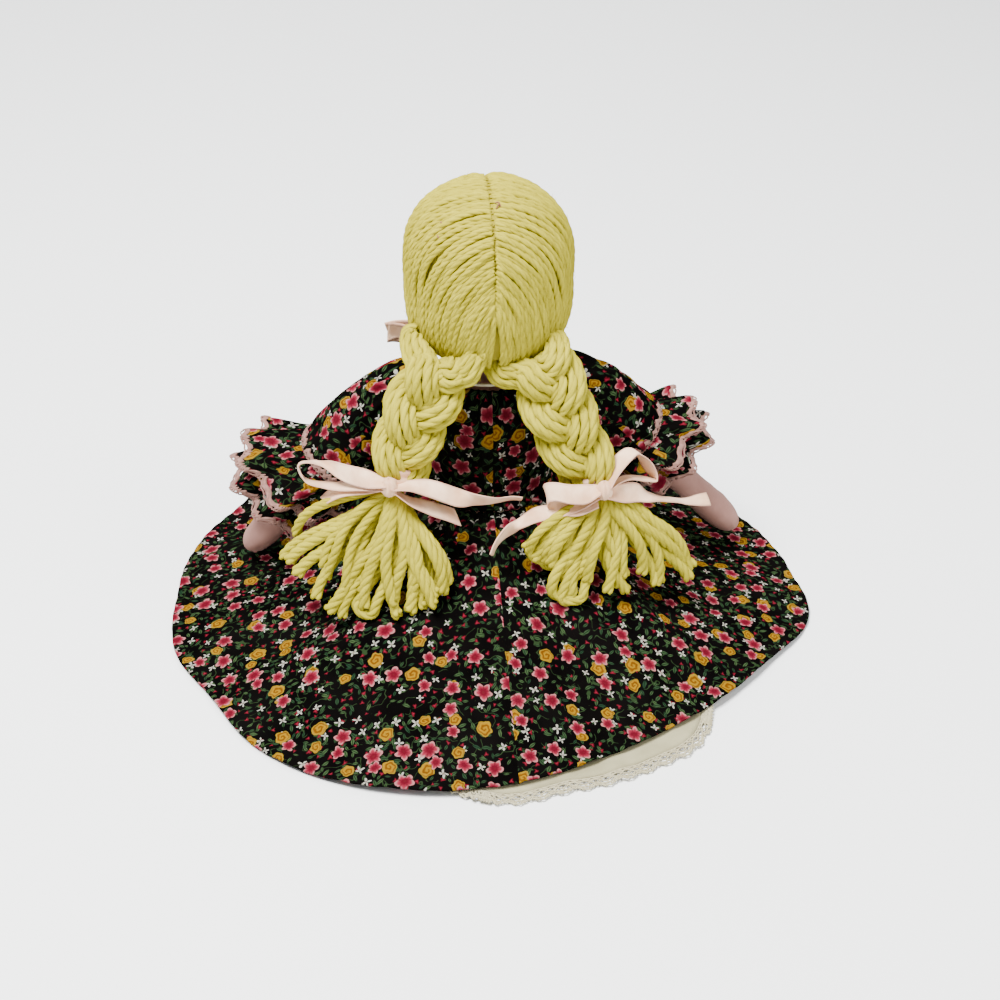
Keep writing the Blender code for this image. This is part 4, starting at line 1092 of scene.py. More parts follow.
# The cloth simulation works on a model this many times the real size.
ENLARGED = 10
STUFFING = {"torso": 1.0 * MM, "head": 0.5 * MM, "limb": 0.8 * MM, "shoe": 0.5 * MM}


def closed_skin(nets):
    """One plain mesh of closed nets, each a stack of rings that narrows to a point at both ends."""
    build = Build()
    for net in nets:
        net = with_ends(net)
        build.grid(net, np.zeros((net.shape[0], net.shape[1] + 1, 2)), True)
    return build


def evaluated(obj):
    graph = bpy.context.evaluated_depsgraph_get()
    return bpy.data.meshes.new_from_object(obj.evaluated_get(graph), depsgraph=graph)


def corners_of(mesh):
    found = np.empty(len(mesh.vertices) * 3, np.float32)
    mesh.vertices.foreach_get("co", found)
    return found.reshape(-1, 3).astype(float)


def bake(obj):
    """Keeps the shape that the modifiers make, and removes them."""
    mesh = evaluated(obj)
    obj.modifiers.clear()
    obj.data = mesh


def stuffed(name, nets, voxel, cap, finish):
    """An even skin over the nets, swollen like a stuffed bag by a short cloth simulation and smoothed."""
    obj = closed_skin(nets).done(name, finish)
    obj.data.transform(Matrix.Scale(ENLARGED, 4))
    even = obj.modifiers.new("even", "REMESH")
    even.mode = "VOXEL"
    even.voxel_size = voxel * ENLARGED
    bake(obj)
    start = corners_of(obj.data)
    cloth = obj.modifiers.new("swell", "CLOTH")
    cloth.settings.use_pressure = True
    cloth.settings.uniform_pressure_force = 4
    cloth.settings.effector_weights.gravity = 0
    cloth.settings.quality = 4
    for step in range(1, 21):
        bpy.context.scene.frame_set(step)
    swollen = evaluated(obj)
    move = corners_of(swollen) - start
    obj.modifiers.clear()
    bpy.context.scene.frame_set(1)
    length = np.linalg.norm(move, axis=1, keepdims=True)
    start = start + move * np.minimum(1, cap * ENLARGED / np.maximum(length, 1e-9))
    obj.data.vertices.foreach_set("co", start.astype(np.float32).ravel())
    finer = obj.modifiers.new("finer", "SUBSURF")
    finer.levels = finer.render_levels = 1
    bake(obj)
    obj.data.transform(Matrix.Scale(1 / ENLARGED, 4))
    obj.data.shade_smooth()
    if not obj.data.materials:
        obj.data.materials.append(FINISH[finish])
    return obj


def move_points(obj, rule):
    """Moves every point of a mesh by a rule for all of them."""
    points = rule(corners_of(obj.data))
    obj.data.vertices.foreach_set("co", points.astype(np.float32).ravel())
    obj.data.update()


def wrap_uv(obj, start, run, across):
    """Cloth coordinates in metres: round the piece from the across direction, and along it."""
    mesh = obj.data
    start, run, across = np.asarray(start, float), unit(run), unit(across)
    points = corners_of(mesh) - start
    flat = np.stack((points @ across, points @ np.cross(run, across)), axis=-1)
    angle = np.arctan2(flat[:, 1], flat[:, 0])
    radius = np.median(np.linalg.norm(flat, axis=1))
    corner = np.empty(len(mesh.loops), np.int32)
    mesh.loops.foreach_get("vertex_index", corner)
    first = np.empty(len(mesh.polygons), np.int32)
    total = np.empty(len(mesh.polygons), np.int32)
    mesh.polygons.foreach_get("loop_start", first)
    mesh.polygons.foreach_get("loop_total", total)
    near = np.repeat(angle[corner[first]], total)
    turned = near + (angle[corner] - near + math.pi) % TURN - math.pi
    uv = np.stack((turned * radius, (points @ run)[corner]), axis=-1)
    layer = mesh.uv_layers.get("cloth") or mesh.uv_layers.new(name="cloth")
    layer.data.foreach_set("uv", uv.astype(np.float32).ravel())


def clear_of(points, centre, radius, below=None):
    """Pushes points out of a ball, and out of the round space under it where a width for that is given."""
    away = points - centre
    if below is not None:
        low = away[:, 2] < 0
        flat = away * (1, 1, 0)
        reach = np.linalg.norm(flat, axis=1, keepdims=True)
        pushed = flat / np.maximum(reach, 1e-9) * below
        away = np.where(low[:, None] & (reach < below), pushed + away * (0, 0, 1), away)
    reach = np.linalg.norm(away, axis=1, keepdims=True)
    return centre + np.where(reach < radius, away / np.maximum(reach, 1e-9) * radius, away)


def hip_of(side):
    return HIP * (SIDES[side], 1, 1)


def make_torso():
    share = np.linspace(0, 1, 40)[:, None]
    body = torso_ring(share, -STUFFING["torso"], round_angles(48)[None, :])
    body[..., 2] = np.clip(body[..., 2], 2.2 * MM, None)
    neck = ball_net(UP * 112 * MM, 10.0 * MM)
    obj = stuffed("torso_body", [body, neck], 1.7 * MM, STUFFING["torso"], "body_cloth")

    def seats(points):
        for side in SIDES:
            points = clear_of(points, SHOULDER * (SIDES[side], 1, 1), ARM_BALL + 0.6 * MM)
            points = clear_of(points, hip_of(side), THIGH_BALL + 0.6 * MM, THIGH_BALL + CLOTH + 2 * LAYER_GAP)
        points[:, 2] = np.maximum(points[:, 2], CLOTH + GAP)
        return points

    move_points(obj, seats)
    wrap_uv(obj, (0, 0, 0), UP, (0, -1, 0))
    settle(obj, "torso", "body_cloth", "torso", padded=0.75)


def ball_net(centre, radius):
    tilt = np.linspace(0.08, math.pi - 0.08, 14)[:, None]
    return centre + ball(math.pi / 2 - tilt, round_angles(24)) * radius


def head_radius(share):
    return table(HEAD_SHARES, share) * HAIR_RADIUS - 3.3 * MM


def make_head():
    """The stuffed head, with a small nose and cheeks raised and eye sockets pressed in."""
    angle = round_angles(56)
    share = np.linspace(0.004, 0.996, 44)
    low, high = HEAD_BOTTOM + GAP, HEAD_BOTTOM + HAIR_HEIGHT - 3.3 * MM
    radius = np.maximum(head_radius(share) - STUFFING["head"], 2 * MM)
    height = low + 0.6 * MM + share * (high - low - 1.2 * MM)
    net = joined(radius[:, None] * np.cos(angle), radius[:, None] * np.sin(angle), height[:, None])
    obj = stuffed("head_body", [net], 1.9 * MM, STUFFING["head"], "head_cloth")

    def shaped(points):
        x, y, z = points.T
        front = smooth(-y, 5 * MM, 22 * MM)
        nose = bell(x, 2.6 * MM) * bell(z - 136.5 * MM, 2.4 * MM)
        cheeks = bell(np.abs(x) - 12.5 * MM, 6 * MM) * bell(z - 133.5 * MM, 6 * MM)
        sockets = bell(np.abs(x) - 9.5 * MM, 4.5 * MM) * bell(z - 143.5 * MM, 4 * MM)
        rise = front * (1.3 * nose + 0.4 * cheeks - 0.3 * sockets) * MM
        points = points + outward(points) * rise[:, None]
        for root in PLAIT_PIVOT.values():
            points = clear_of(points, root, 8.9 * MM)
        return clear_of(points, UP * 112 * MM, 10.9 * MM)

    move_points(obj, shaped)
    wrap_uv(obj, (0, 0, 0), UP, (0, -1, 0))
    return settle(obj, "head", "body_cloth", "head", padded=0.85)


def face_spots(head, x, z, lift):
    """Points on the face at these widths and heights, lifted off the cloth."""
    found = []
    for wide, high in zip(np.broadcast_to(x, np.shape(z)), z):
        _, at, normal, _ = head.ray_cast(Vector((wide, -60 * MM, high)), Vector((0, 1, 0)))
        found.append(np.array(at) + np.array(normal) * lift)
    return np.array(found)


EYE_OFFSET = 9.5 * MM
EYE_HEIGHT = 143 * MM
MOUTH_HEIGHT = 131.5 * MM


def stitch(build, line, radius, tag):
    add_tube(build, line, radius, 6, tag)


def make_eyes(head):
    """Satin-stitched oval eyes in dark blue thread, each with a pale glint, three lashes and an outline."""
    for side, sign in SIDES.items():
        build = Build()
        middle, half = sign * EYE_OFFSET, 1.9 * MM
        for k, across in enumerate(np.linspace(-0.94, 0.94, 15)):
            tall = 2.7 * MM * math.sqrt(1 - across**2)
            rows = np.linspace(-tall, tall, 7)
            lift = 0.22 * MM + 0.3 * MM * (1 - across**2) * np.cos(rows / (3.4 * MM))
            line = face_spots(head, middle + across * half, EYE_HEIGHT + rows, lift[3])
            stitch(build, line, 0.17 * MM, 0.01 * k)
        turn = np.linspace(0, TURN, 28)
        wide, tall = 2.05 * MM * np.cos(turn), 2.85 * MM * np.sin(turn)
        rim = face_spots(head, middle + wide, EYE_HEIGHT + tall, 0.2 * MM)
        stitch(build, rim, 0.2 * MM, 0.3)
        for k, (wide, high) in enumerate(((1.0, 1.2), (1.7, 0.75), (2.0, 0.1))):
            at = np.linspace(0, 1, 5)
            x = middle + sign * (1.3 + 0.35 * k + wide * at * 1.1) * MM
            z = EYE_HEIGHT + (2.3 - 0.75 * k + high * at * 1.5) * MM
            line = face_spots(head, x, z, 0.15 * MM)
            stitch(build, line, 0.15 * MM, 0.4 + 0.01 * k)
        settle(build.done("eye_stitches_" + side, "eye_thread"), "head", "eye_thread", "eye_" + side)
        glint = Build()
        for k in range(4):
            rows = EYE_HEIGHT + np.linspace(0.7, 1.55, 4) * MM
            line = face_spots(head, middle + sign * (0.26 * k - 0.75) * MM, rows, 0.62 * MM)
            stitch(glint, line, 0.15 * MM, 0.01 * k)
        settle(glint.done("eye_glint_" + side, "seam_thread"), "head", "white_cotton")


def make_mouth(head):
    """A small smile in stem stitch, with two tiny stitches for the nose."""
    build = Build()
    for k in range(9):
        start = -1 + k * 0.2
        share = np.linspace(start, start + 0.42, 6).clip(-1, 1)
        slant = np.linspace(-0.16, 0.16, 6) * MM
        height = MOUTH_HEIGHT + 1.6 * MM * (share**2 - 1) + slant
        line = face_spots(head, share * 5 * MM, height, 0.3 * MM)
        stitch(build, line, 0.32 * MM, 0.02 * k)
    for sign in (-1, 1):
        rows = np.linspace(-0.55, 0.55, 5) * MM
        wide = sign * (0.75 * MM + rows * 0.6)
        line = face_spots(head, wide, 135.4 * MM - np.abs(rows) * 0.3, 0.12 * MM)
        stitch(build, line, 0.16 * MM, 0.4)
    settle(build.done("mouth_stitches", "mouth_thread"), "head", "mouth_thread", "mouth")


ARM_SHAPE = np.array((
    (0.0, 1.0), (0.12, 0.99), (0.3, 0.86), (0.5, 0.76), (0.66, 0.69), (0.73, 0.71), (0.8, 0.77), (0.88, 0.79),
    (0.945, 0.67), (0.985, 0.42), (1.0, 0.16),
))


def make_arm(side):
    """A stuffed arm that ends in a mitten hand, with a seam along both of its edges."""
    arm = ArmFrame(side)
    angle = round_angles(32)
    share = np.concatenate((np.linspace(0, 0.9, 44), (0.925, 0.95, 0.97, 0.985, 0.994)))
    flat = 1 - 0.08 * smooth(share, 0.66, 0.8)
    radius = table(ARM_SHAPE, share) * ARM_BALL - STUFFING["limb"] * (1 - 0.5 * smooth(share, 0.9, 1))
    net = arm.net(share, np.broadcast_to(radius[:, None], (len(share), 32)), angle, 0.0, flat)
    nets = [net, ball_net(arm.start, ARM_BALL - STUFFING["limb"])]
    obj = stuffed("arm_body_" + side, nets, 1.15 * MM, STUFFING["limb"], "body_cloth")

    def seamed(points):
        off = points - arm.start
        at = off @ arm.along
        line = arm.start + arm.along * at[:, None]
        out = unit(points - line)
        edge = np.abs(np.arctan2(out @ arm.back, np.abs(out @ arm.lift)))
        hand = smooth(at, 0.3 * arm.length, 0.4 * arm.length)
        groove = -0.16 * bell(edge, 0.07) + 0.06 * bell(edge - 0.17, 0.09)
        pucker = 0.1 * np.sin(at / (1.25 * MM)) * bell(edge, 0.4)
        wrist = -0.15 * bell(at / arm.length - 0.715, 0.016) * (1 + 0.5 * np.sin(edge * 14))
        rise = hand * (groove + pucker + wrist) + wobble(points, 6 * MM, 0.22, 5)
        return points + out * (rise * MM)[:, None]

    move_points(obj, seamed)
    wrap_uv(obj, arm.start, arm.along, arm.lift)
    settle(obj, "arm_" + side, "body_cloth", "arm_" + side, padded=0.7)


class LegFrame:
    """Directions along and across one leg, and places round it."""

    def __init__(self, side):
        self.hip = hip_of(side)
        self.ankle = self.hip + np.array((SIDES[side] * LEG_SPLAY, -LEG_LENGTH, ANKLE_HEIGHT - HIP[2]))
        self.run = unit(self.ankle - self.hip)
        self.across = unit(np.cross(self.run, UP))
        self.up = np.cross(self.across, self.run)

    def net(self, share, radius, angle):
        """Points round the leg: share by row, radius by row and column, angle by column."""
        middle = self.hip + (self.ankle - self.hip) * np.asarray(share)[:, None]
        out = self.across * np.cos(angle)[:, None] + self.up * np.sin(angle)[:, None]
        return middle[:, None] + out[None] * radius[..., None]


LEG_SHAPE = np.array((
    (0.0, 1.0), (0.2, 0.98), (0.45, 0.86), (0.55, 0.84), (0.7, 0.8), (0.9, 0.65), (1.0, 0.61),
))


def make_leg(side):
    leg = LegFrame(side)
    angle = round_angles(32)
    share = np.linspace(0, 0.995, 46)
    knee = 0.04 * bell(share - 0.56, 0.04)
    radius = (table(LEG_SHAPE, share) - knee) * THIGH_BALL - STUFFING["limb"]
    net = leg.net(share, np.broadcast_to(radius[:, None], (len(share), 32)), angle)
    nets = [net, ball_net(leg.hip, THIGH_BALL - STUFFING["limb"])]
    obj = stuffed("leg_body_" + side, nets, 1.4 * MM, STUFFING["limb"], "body_cloth")

    def seamed(points):
        off = points - leg.hip
        at = off @ leg.run
        out = unit(off - leg.run * at[:, None])
        edge = np.abs(np.arctan2(out @ leg.across, -(out @ leg.up)))
        lower = smooth(at, 0.15 * LEG_LENGTH, 0.2 * LEG_LENGTH)
        groove = -0.4 * bell(edge, 0.05) + 0.16 * bell(edge - 0.14, 0.06)
        top = 0.25 * np.sin(out @ leg.across * 9) * bell(at / LEG_LENGTH - 0.57, 0.02)
        rise = lower * groove - 0.5 * np.abs(top) + wobble(points, 7 * MM, 0.2, 7)
        return points + out * (rise * MM)[:, None]

    move_points(obj, seamed)
    wrap_uv(obj, leg.hip, leg.run, leg.up)
    settle(obj, "leg_" + side, "body_cloth", "leg_" + side, padded=0.7)


SHOE_SHAPE = np.array((
    (0.0, 0.5, 0.5), (0.04, 0.66, 0.68), (0.12, 0.85, 0.85), (0.35, 1.0, 1.0), (0.65, 0.95, 0.9),
    (0.88, 0.7, 0.6), (0.96, 0.48, 0.4), (1.0, 0.2, 0.16),
))


def make_shoe(side):
    """A soft felt shoe with a stitched sole seam and a rolled edge where the leg goes in."""
    hip = hip_of(side)
    half, height = 8.5 * MM, 29 * MM
    centre = np.array((hip[0] + SIDES[side] * LEG_SPLAY, hip[1] - LEG_LENGTH - GAP - half, 0.0))
    angle = round_angles(32)
    share = np.linspace(0.01, 0.99, 26)
    wide = table(SHOE_SHAPE, share, 1) * half - STUFFING["shoe"]
    deep = table(SHOE_SHAPE, share, 2) * half - STUFFING["shoe"]
    level = 0.5 * MM + share[:, None] * (height - 1 * MM)
    net = centre + joined(wide[:, None] * np.cos(angle), deep[:, None] * np.sin(angle), level)
    shoe = stuffed("shoe_body_" + side, [net], 1.3 * MM, STUFFING["shoe"], "shoe_felt")

    def pressed(points):
        off = points - centre
        points = points - outward(off) * (0.35 * MM * bell(off[:, 1] + 3.2 * MM, 0.5 * MM))[:, None]
        points[:, 2] = np.maximum(points[:, 2], 0.1 * MM)
        points[:, 1] = np.minimum(points[:, 1], centre[1] + half - 0.05 * MM)
        return points

    move_points(shoe, pressed)
    wrap_uv(shoe, centre, UP, (0, -1, 0))
    settle(shoe, "leg_" + side, "shoe_felt", "shoe_" + side, padded=0.6)

    trims = Build()
    turn = np.linspace(0, TURN, 60)
    opening = centre + joined(6.3 * np.cos(turn), 7.6, 12.2 + 7.2 * np.sin(turn)) * MM
    add_tube(trims, opening, 0.55 * MM, 6, 0.1)
    settle(trims.done("shoe_edge_" + side, "shoe_felt"), "leg_" + side, "shoe_felt")

    stitches = Build()
    for k in range(34):
        level = 0.06 + 0.88 * (k % 17) / 16
        sign = 1 if k < 17 else -1
        across = table(SHOE_SHAPE, level, 1) * half
        depth = table(SHOE_SHAPE, level, 2) * half
        y = -3.2 * MM + np.linspace(-0.8, 0.8, 4) * MM
        x = sign * np.sqrt(np.clip(1 - (y / depth) ** 2, 0.01, 1)) * across
        out = unit(joined(x / across**2, y / depth**2, 0))
        line = centre + joined(x, y, level * height) + out * 0.12 * MM
        stitch(stitches, line, 0.2 * MM, 0.01 * k)
    settle(stitches.done("shoe_stitches_" + side, "seam_thread"), "leg_" + side, "shoe_felt")


def make_drawers_seat():
    """The seat of the drawers, pulled in round the thighs."""
    angle = round_angles(220)
    bottom = torso_ring(0.0, LAYER_GAP + 0.5 * MM, angle)[None] * np.linspace(0.02, 1, 24)[:, None, None]
    bottom[..., 2] = 0.75 * MM
    share = np.linspace(0, 0.38, 40)[1:]
    wall = torso_ring(share[:, None], LAYER_GAP + 0.55 * MM, angle[None, :])
    gathers = 0.4 * np.sin(41 * angle)[None, :] * smooth(share, 0.26, 0.36)[:, None]
    wall = wall + outward(wall) * ((gathers + wobble(wall, 8 * MM, 0.3, 9)) * MM)[..., None]
    points = np.concatenate((bottom, wall))
    flat = points.reshape(-1, 3)
    for side in SIDES:
        flat = clear_of(flat, hip_of(side), THIGH_BALL + 2.4 * MM, THIGH_BALL + 2.4 * MM)
    points = flat.reshape(points.shape)
    points[..., 2] = np.maximum(points[..., 2], 0.6 * MM)
    uv = polar_uv(np.concatenate((points, points[:, :1]), axis=1), np.append(angle, TURN), 1 * MM)
    seat = cloth_piece("drawers_seat", "white_cotton", points[::-1], uv[::-1], -0.45 * MM)
    settle(seat, "torso", "white_cotton", "drawers")


def make_drawers_leg(side):
    """One gathered leg of the drawers, with a lace edge."""
    leg = LegFrame(side)
    angle = round_angles(160)
    first, last = 3 * MM / LEG_LENGTH, 0.5
    share = np.linspace(first, last, 40)
    up = (share - first) / (last - first)
    base = table(LEG_SHAPE, share) * THIGH_BALL + 0.85 * MM
    folds = 0.25 + np.sin(19 * angle + 1)[None, :] * 0.35 + np.sin(31 * angle)[None, :] * 0.25
    loose = (0.25 + 0.65 * smooth(up, 0.5, 0.85) * (1 - 0.8 * smooth(up, 0.86, 0.93)))[:, None]
    net = leg.net(share, base[:, None] + folds * loose * MM, angle)
    uv = wrapped_uv(angle, 11 * MM, share * LEG_LENGTH)
    cloth = cloth_piece("drawers_leg_cloth_" + side, "white_cotton", net, uv, 0.4 * MM)
    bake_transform(cloth)
    settle(cloth, None, "white_cotton", "drawers_leg_" + side)
    edge = leg.net(np.array((last, last + 0.02)), np.full((2, len(angle)), base[-1] + 0.3 * MM), angle)
    out, normal = unit(edge[1] - edge[0]), unit(edge[0] - edge[0].mean(axis=0))
    lace = lace_band("drawers_lace_" + side, edge[0], out, normal, 3.2 * MM, 14, 0.22 * MM)
    settle(lace, "leg_" + side, "lace")


make_torso()
head_piece = make_head()
bpy.context.view_layer.update()
make_eyes(head_piece)
make_mouth(head_piece)
make_drawers_seat()
for side_name in SIDES:
    make_drawers_leg(side_name)
    make_arm(side_name)
    make_leg(side_name)
    make_shoe(side_name)


# Hair, plaits and tassels of yarn

HEAD_MIDDLE = HEAD_BOTTOM + 0.45 * HAIR_HEIGHT
YARN = 1.22 * MM
YARN_PITCH = 12 * MM
# How each yarn runs from the parting: its share, two bends and its end, each as degrees from the back and up
PARTING = np.array((
    (0.0, 3, -22, 5, -40, 3, -64), (0.12, 9, -2, 25, -30, 18, -62), (0.23, 18, 15, 42, -20, 30, -60),
    (0.37, 38, 32, 62, -8, 45, -56), (0.48, 56, 46, 82, 4, 60, -50), (0.6, 78, 56, 95, 12, 70, -46),
    (0.8, 106, 50, 114, -2, 80, -46), (1.0, 131, 28, 131, -30, 86, -48),
))
PARTING_FROM, PARTING_TO = math.radians(-8), math.radians(143)
HAIR_ROWS = 52
PARTING_STITCHES = 36


def hair_place(direction, lift):
    """Places on the hair's outer surface in these directions from the head's middle, raised by lift."""
    share = np.linspace(0, 1, 240)
    across = np.concatenate(((0.0,), table(HEAD_SHARES, share) * HAIR_RADIUS, (0.0,)))
    tall = HEAD_BOTTOM - HEAD_MIDDLE + np.concatenate(((0.0,), share, (1.0,))) * HAIR_HEIGHT
    direction = unit(direction)
    reach = np.interp(np.arcsin(direction[..., 2]), np.arctan2(tall, across), np.hypot(tall, across))
    return direction * (reach + lift)[..., None] + UP * HEAD_MIDDLE


def make_scalp():
    """The cloth that the yarn is sewn to, open over the face. It is in the darker yarn, painted shade that
    shows between the yarns.
    """
    rise = np.radians(np.linspace(-62, 90, 78))[:, None]
    turn = round_angles(180)
    shape = hair_place(ball(rise, turn), -2.0 * MM)
    off = (shape - (0, -HAIR_RADIUS, 137 * MM)) / mm(24, 27, 30)
    bare = np.linalg.norm(off, axis=-1) < 1
    build = Build().grid(shape, wrapped_uv(turn, 30 * MM, rise[:, 0] * 33 * MM), True)
    following = np.roll(bare, -1, axis=1)
    covered = ~(bare[:-1] | bare[1:] | following[:-1] | following[1:]).reshape(-1)
    build.faces[0] = build.faces[0][covered]
    build.uvs[0] = build.uvs[0].reshape(-1, 4, 2)[covered].reshape(-1, 2)
    # The darker yarn colour here is painted shade under the hair.
    scalp = build.done("scalp_cloth", "yarn_painted_shade")
    scalp.modifiers.new("cloth", "SOLIDIFY").thickness = 0.5 * MM
    settle(scalp, "head", "yarn")


def make_hair(side):
    sign = SIDES[side]
    build = Build()
    for k in range(HAIR_ROWS):
        spot = (k + 0.5) / HAIR_ROWS
        beta = PARTING_FROM + spot * (PARTING_TO - PARTING_FROM)
        start = np.array((sign * 0.018, math.cos(beta), math.sin(beta)))
        bends = [math.radians(table(PARTING, spot, c)) for c in range(1, 7)]
        bends[4] += 0.1 * (rng.random() - 0.5)
        bends[5] += 0.12 * (rng.random() - 0.5)
        one, two, end = (
            np.array((sign * math.sin(a) * math.cos(e), math.cos(a) * math.cos(e), math.sin(e))) * s
            for a, e, s in zip(bends[::2], bends[1::2], (1.12, 1.12, 1.0))
        )
        line = unit(bezier((start, one, two, end), 60))
        at = np.linspace(0, 1, 60)
        lift = -1.1 * MM + 0.8 * MM * rng.random() + 0.4 * MM * np.sin(at * 9 + 5 * rng.random())
        side_rise = np.abs(line[:, 0]) * bell(line[:, 2] - 0.5, 0.45)
        lift = lift - 0.9 * MM * (1 - smooth(at, 0, 0.05)) - 1.2 * MM * smooth(at, 0.9, 1)
        lift = lift + 0.7 * MM * side_rise - 1.2 * MM * np.maximum(line[:, 2], 0) ** 4
        path = hair_place(line, lift)
        level = unit(np.cross(line, np.gradient(line, axis=0)))
        path = path + wobble(path, 12 * MM, 0.55 * MM, k)[:, None] * level
        path = even_line(path, 0.8 * MM)
        along = np.linspace(0, 1, len(path))
        thick = YARN * (0.93 + 0.12 * rng.random()) * (1 - 0.25 * smooth(along, 0.8, 1))
        add_yarn(build, path, thick, YARN_PITCH, 6, 3, tag=0.05 * k, turn=rng.random() * TURN, full=0.66)
        add_fuzz(build, path, YARN, 6 * MM, 0.05 * k)
    settle(build.done("hair_strands_" + side, "yarn"), "head", "yarn", "hair_cap")


def make_parting():
    """The stitches that hold the yarn down along the middle, in the darker yarn as painted shade in the
    parting's groove.
    """
    build = Build()
    for k in range(PARTING_STITCHES):
        beta = PARTING_FROM + (k + 0.5) / PARTING_STITCHES * (PARTING_TO - PARTING_FROM)
        tilt = 0.012 * (rng.random() - 0.5)
        turn = beta + np.array((tilt, 0.01, -tilt))
        line = hair_place(joined((-0.05, 0.0, 0.05), np.cos(turn), np.sin(turn)), mm(-1.9, -1.6, -1.9))
        stitch(build, even_line(line, 0.4 * MM), 0.3 * MM, 0.02 * k)
    # The darker yarn colour here is painted shade along the parting.
    settle(build.done("parting_stitches", "yarn_painted_shade"), "head", "yarn")


def make_darning():
    """A few loose darning stitches that show on the yarn."""
    build = Build()
    for x, y, z, lean in (
        (0.55, 0.42, 0.72, 0.05), (0.57, 0.47, 0.66, -0.04), (0.53, 0.38, 0.76, -0.06),
        (0.56, 0.52, 0.62, 0.03), (-0.04, 0.36, 0.93, -0.05), (-0.08, 0.38, 0.92, 0.04),
    ):
        spot = unit(np.array((x, y, z)))
        ends = np.stack((spot, spot + (lean / 2, 0.02, -0.025), spot + (lean, 0.04, -0.05)))
        line = hair_place(ends, mm(-0.9, 0.35, -0.9))
        add_tube(build, even_line(line, 0.3 * MM), 0.33 * MM, 5, 0.7 + 0.01 * x)
    settle(build.done("darning_stitches", "darn_thread"), "head", "yarn")


def plait_line(side, share):
    root, tie = PLAIT_PIVOT[side], TIE[side]
    bow = 0.12 * (tie[0] - root[0]) if side == "left" else 0.1 * (root[0] - tie[0])
    share = np.asarray(share, float)[:, None]
    return root * (1 - share) + tie * share + np.array((bow, 0, 0)) * np.sin(math.pi * share)


PLAIT_WIDTHS = np.array((
    (0.0, 1.0, 1.0), (0.22, 1.08, 1.0), (0.45, 1.06, 1.0), (0.7, 0.98, 0.95), (0.88, 0.93, 0.9),
    (0.96, 0.84, 0.8), (1.03, 0.6, 0.66),
))
PLAIT_PERIOD = 50 * MM
PLAIT_START = -0.26
# Where the yarns of a bundle lie in its section: nine round it and two inside
BUNDLE = [(0.8 * math.cos(turn), 0.66 * math.sin(turn)) for turn in round_angles(9)]
BUNDLE += [(0.3, 0.0), (-0.3, 0.0)]
# How each bundle of yarn comes to the plait's top: from the nape, from under the hair and from the side
PLAIT_LEADS = np.array(((-17.5, 3.5, -1.0), (-2.0, -5.5, 6.0), (6.0, -8.0, 7.5))) * MM
PLAIT_TUCKS = np.array(((-1.0, -7.0, 6.0), (0.0, 0.0, 0.0), (0.0, -2.0, 1.0))) * MM


def make_plait(side):
    sign = SIDES[side]
    share = np.linspace(PLAIT_START, 1.03, 150)
    middle = plait_line(side, np.clip(share, 0, 1.03))
    before = smooth(np.minimum(share, 0) / PLAIT_START, 0, 1)
    run = unit(np.gradient(plait_line(side, share), axis=0))
    back = unit(np.cross(np.cross(run, (0, 1.0, 0)), run) * -1)
    back = back * np.sign(back[:, 1:2] + 1e-9)
    across = np.cross(run, back)
    at = (share - PLAIT_START) * np.linalg.norm(TIE[side] - PLAIT_PIVOT[side])
    half = table(PLAIT_WIDTHS, np.clip(share, 0, 1), 1) * PLAIT_HALF_WIDTH
    deep = table(PLAIT_WIDTHS, np.clip(share, 0, 1), 2) * PLAIT_HALF_DEPTH
    bundle = 0.46 * half
    phases = [TURN * (at / PLAIT_PERIOD + b / 3) + (0.3 if side == "left" else 2.4) for b in range(3)]
    root = np.argmin(np.abs(share))
    outward = [(across[root] * math.sin(phase[root]))[0] * sign for phase in phases]
    build = Build()
    tag = 0.0
    for rank, b in enumerate(np.argsort(outward)):
        phase = phases[b]
        core = (
            middle + across * ((half - bundle) * np.sin(phase))[:, None]
            - back * (0.52 * deep * np.sin(2 * phase))[:, None]
            + PLAIT_LEADS[rank] * (sign, 1, 1) * before[:, None]
            + PLAIT_TUCKS[rank] * (sign, 1, 1) * smooth(before, 0.55, 1.0)[:, None]
        )
        run_b = unit(np.gradient(core, axis=0))
        out = unit(np.cross(back, run_b))
        lift = np.cross(run_b, out)
        slim = bundle * (1 - 0.3 * before)
        for x in (-0.42, 0.0, 0.42):
            heart = even_line(core + out * (x * slim)[:, None], 1.6 * MM)
            add_tube(build, heart, 0.34 * float(slim.mean()), 8, tag)
        for x, y in BUNDLE:
            offset = out * (x * slim)[:, None] + lift * (y * slim)[:, None]
            path = even_line(core + offset, 0.85 * MM)
            path = path + wobble(path, 9 * MM, 0.3 * MM, tag * 50)[:, None] * (0.6, 0.6, 0.3)
            thick = np.interp(np.linspace(0, 1, len(path)), np.linspace(0, 1, len(slim)), slim)
            thick = thick * (0.265 + 0.04 * rng.random())
            add_yarn(build, path, thick, 1.4 * YARN_PITCH, 7, 3, tag=tag, turn=rng.random() * TURN, full=0.64)
            add_fuzz(build, path, float(thick.mean()), 5 * MM, tag)
            tag += 0.05
    piece = build.done("plait_strands_" + side, "yarn")
    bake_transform(piece)
    settle(piece, None, "yarn", "plait_" + side)


# Where each tassel's yarn ends lie, in mm, beside shares from its outer side to its inner side
TASSEL_ENDS = {
    "left": np.array((
        (-1.0, 83, 27, 50), (-0.55, 72, 45, 38), (0.1, 44, 58, 31), (0.6, 27, 58, 33), (1.0, 20, 51, 39),
    )),
    "right": np.array((
        (-1.0, -80, 35, 38), (-0.5, -66, 46, 34), (0.0, -48, 53, 34), (0.5, -24, 52, 38), (1.0, -5, 47, 52),
    )),
}
# The numbers of the yarns that are doubled in a loop, and of all of them
TASSEL_LOOPS = {"left": (13,), "right": (16, 18, 20, 22, 24)}
TASSEL_YARNS = 25


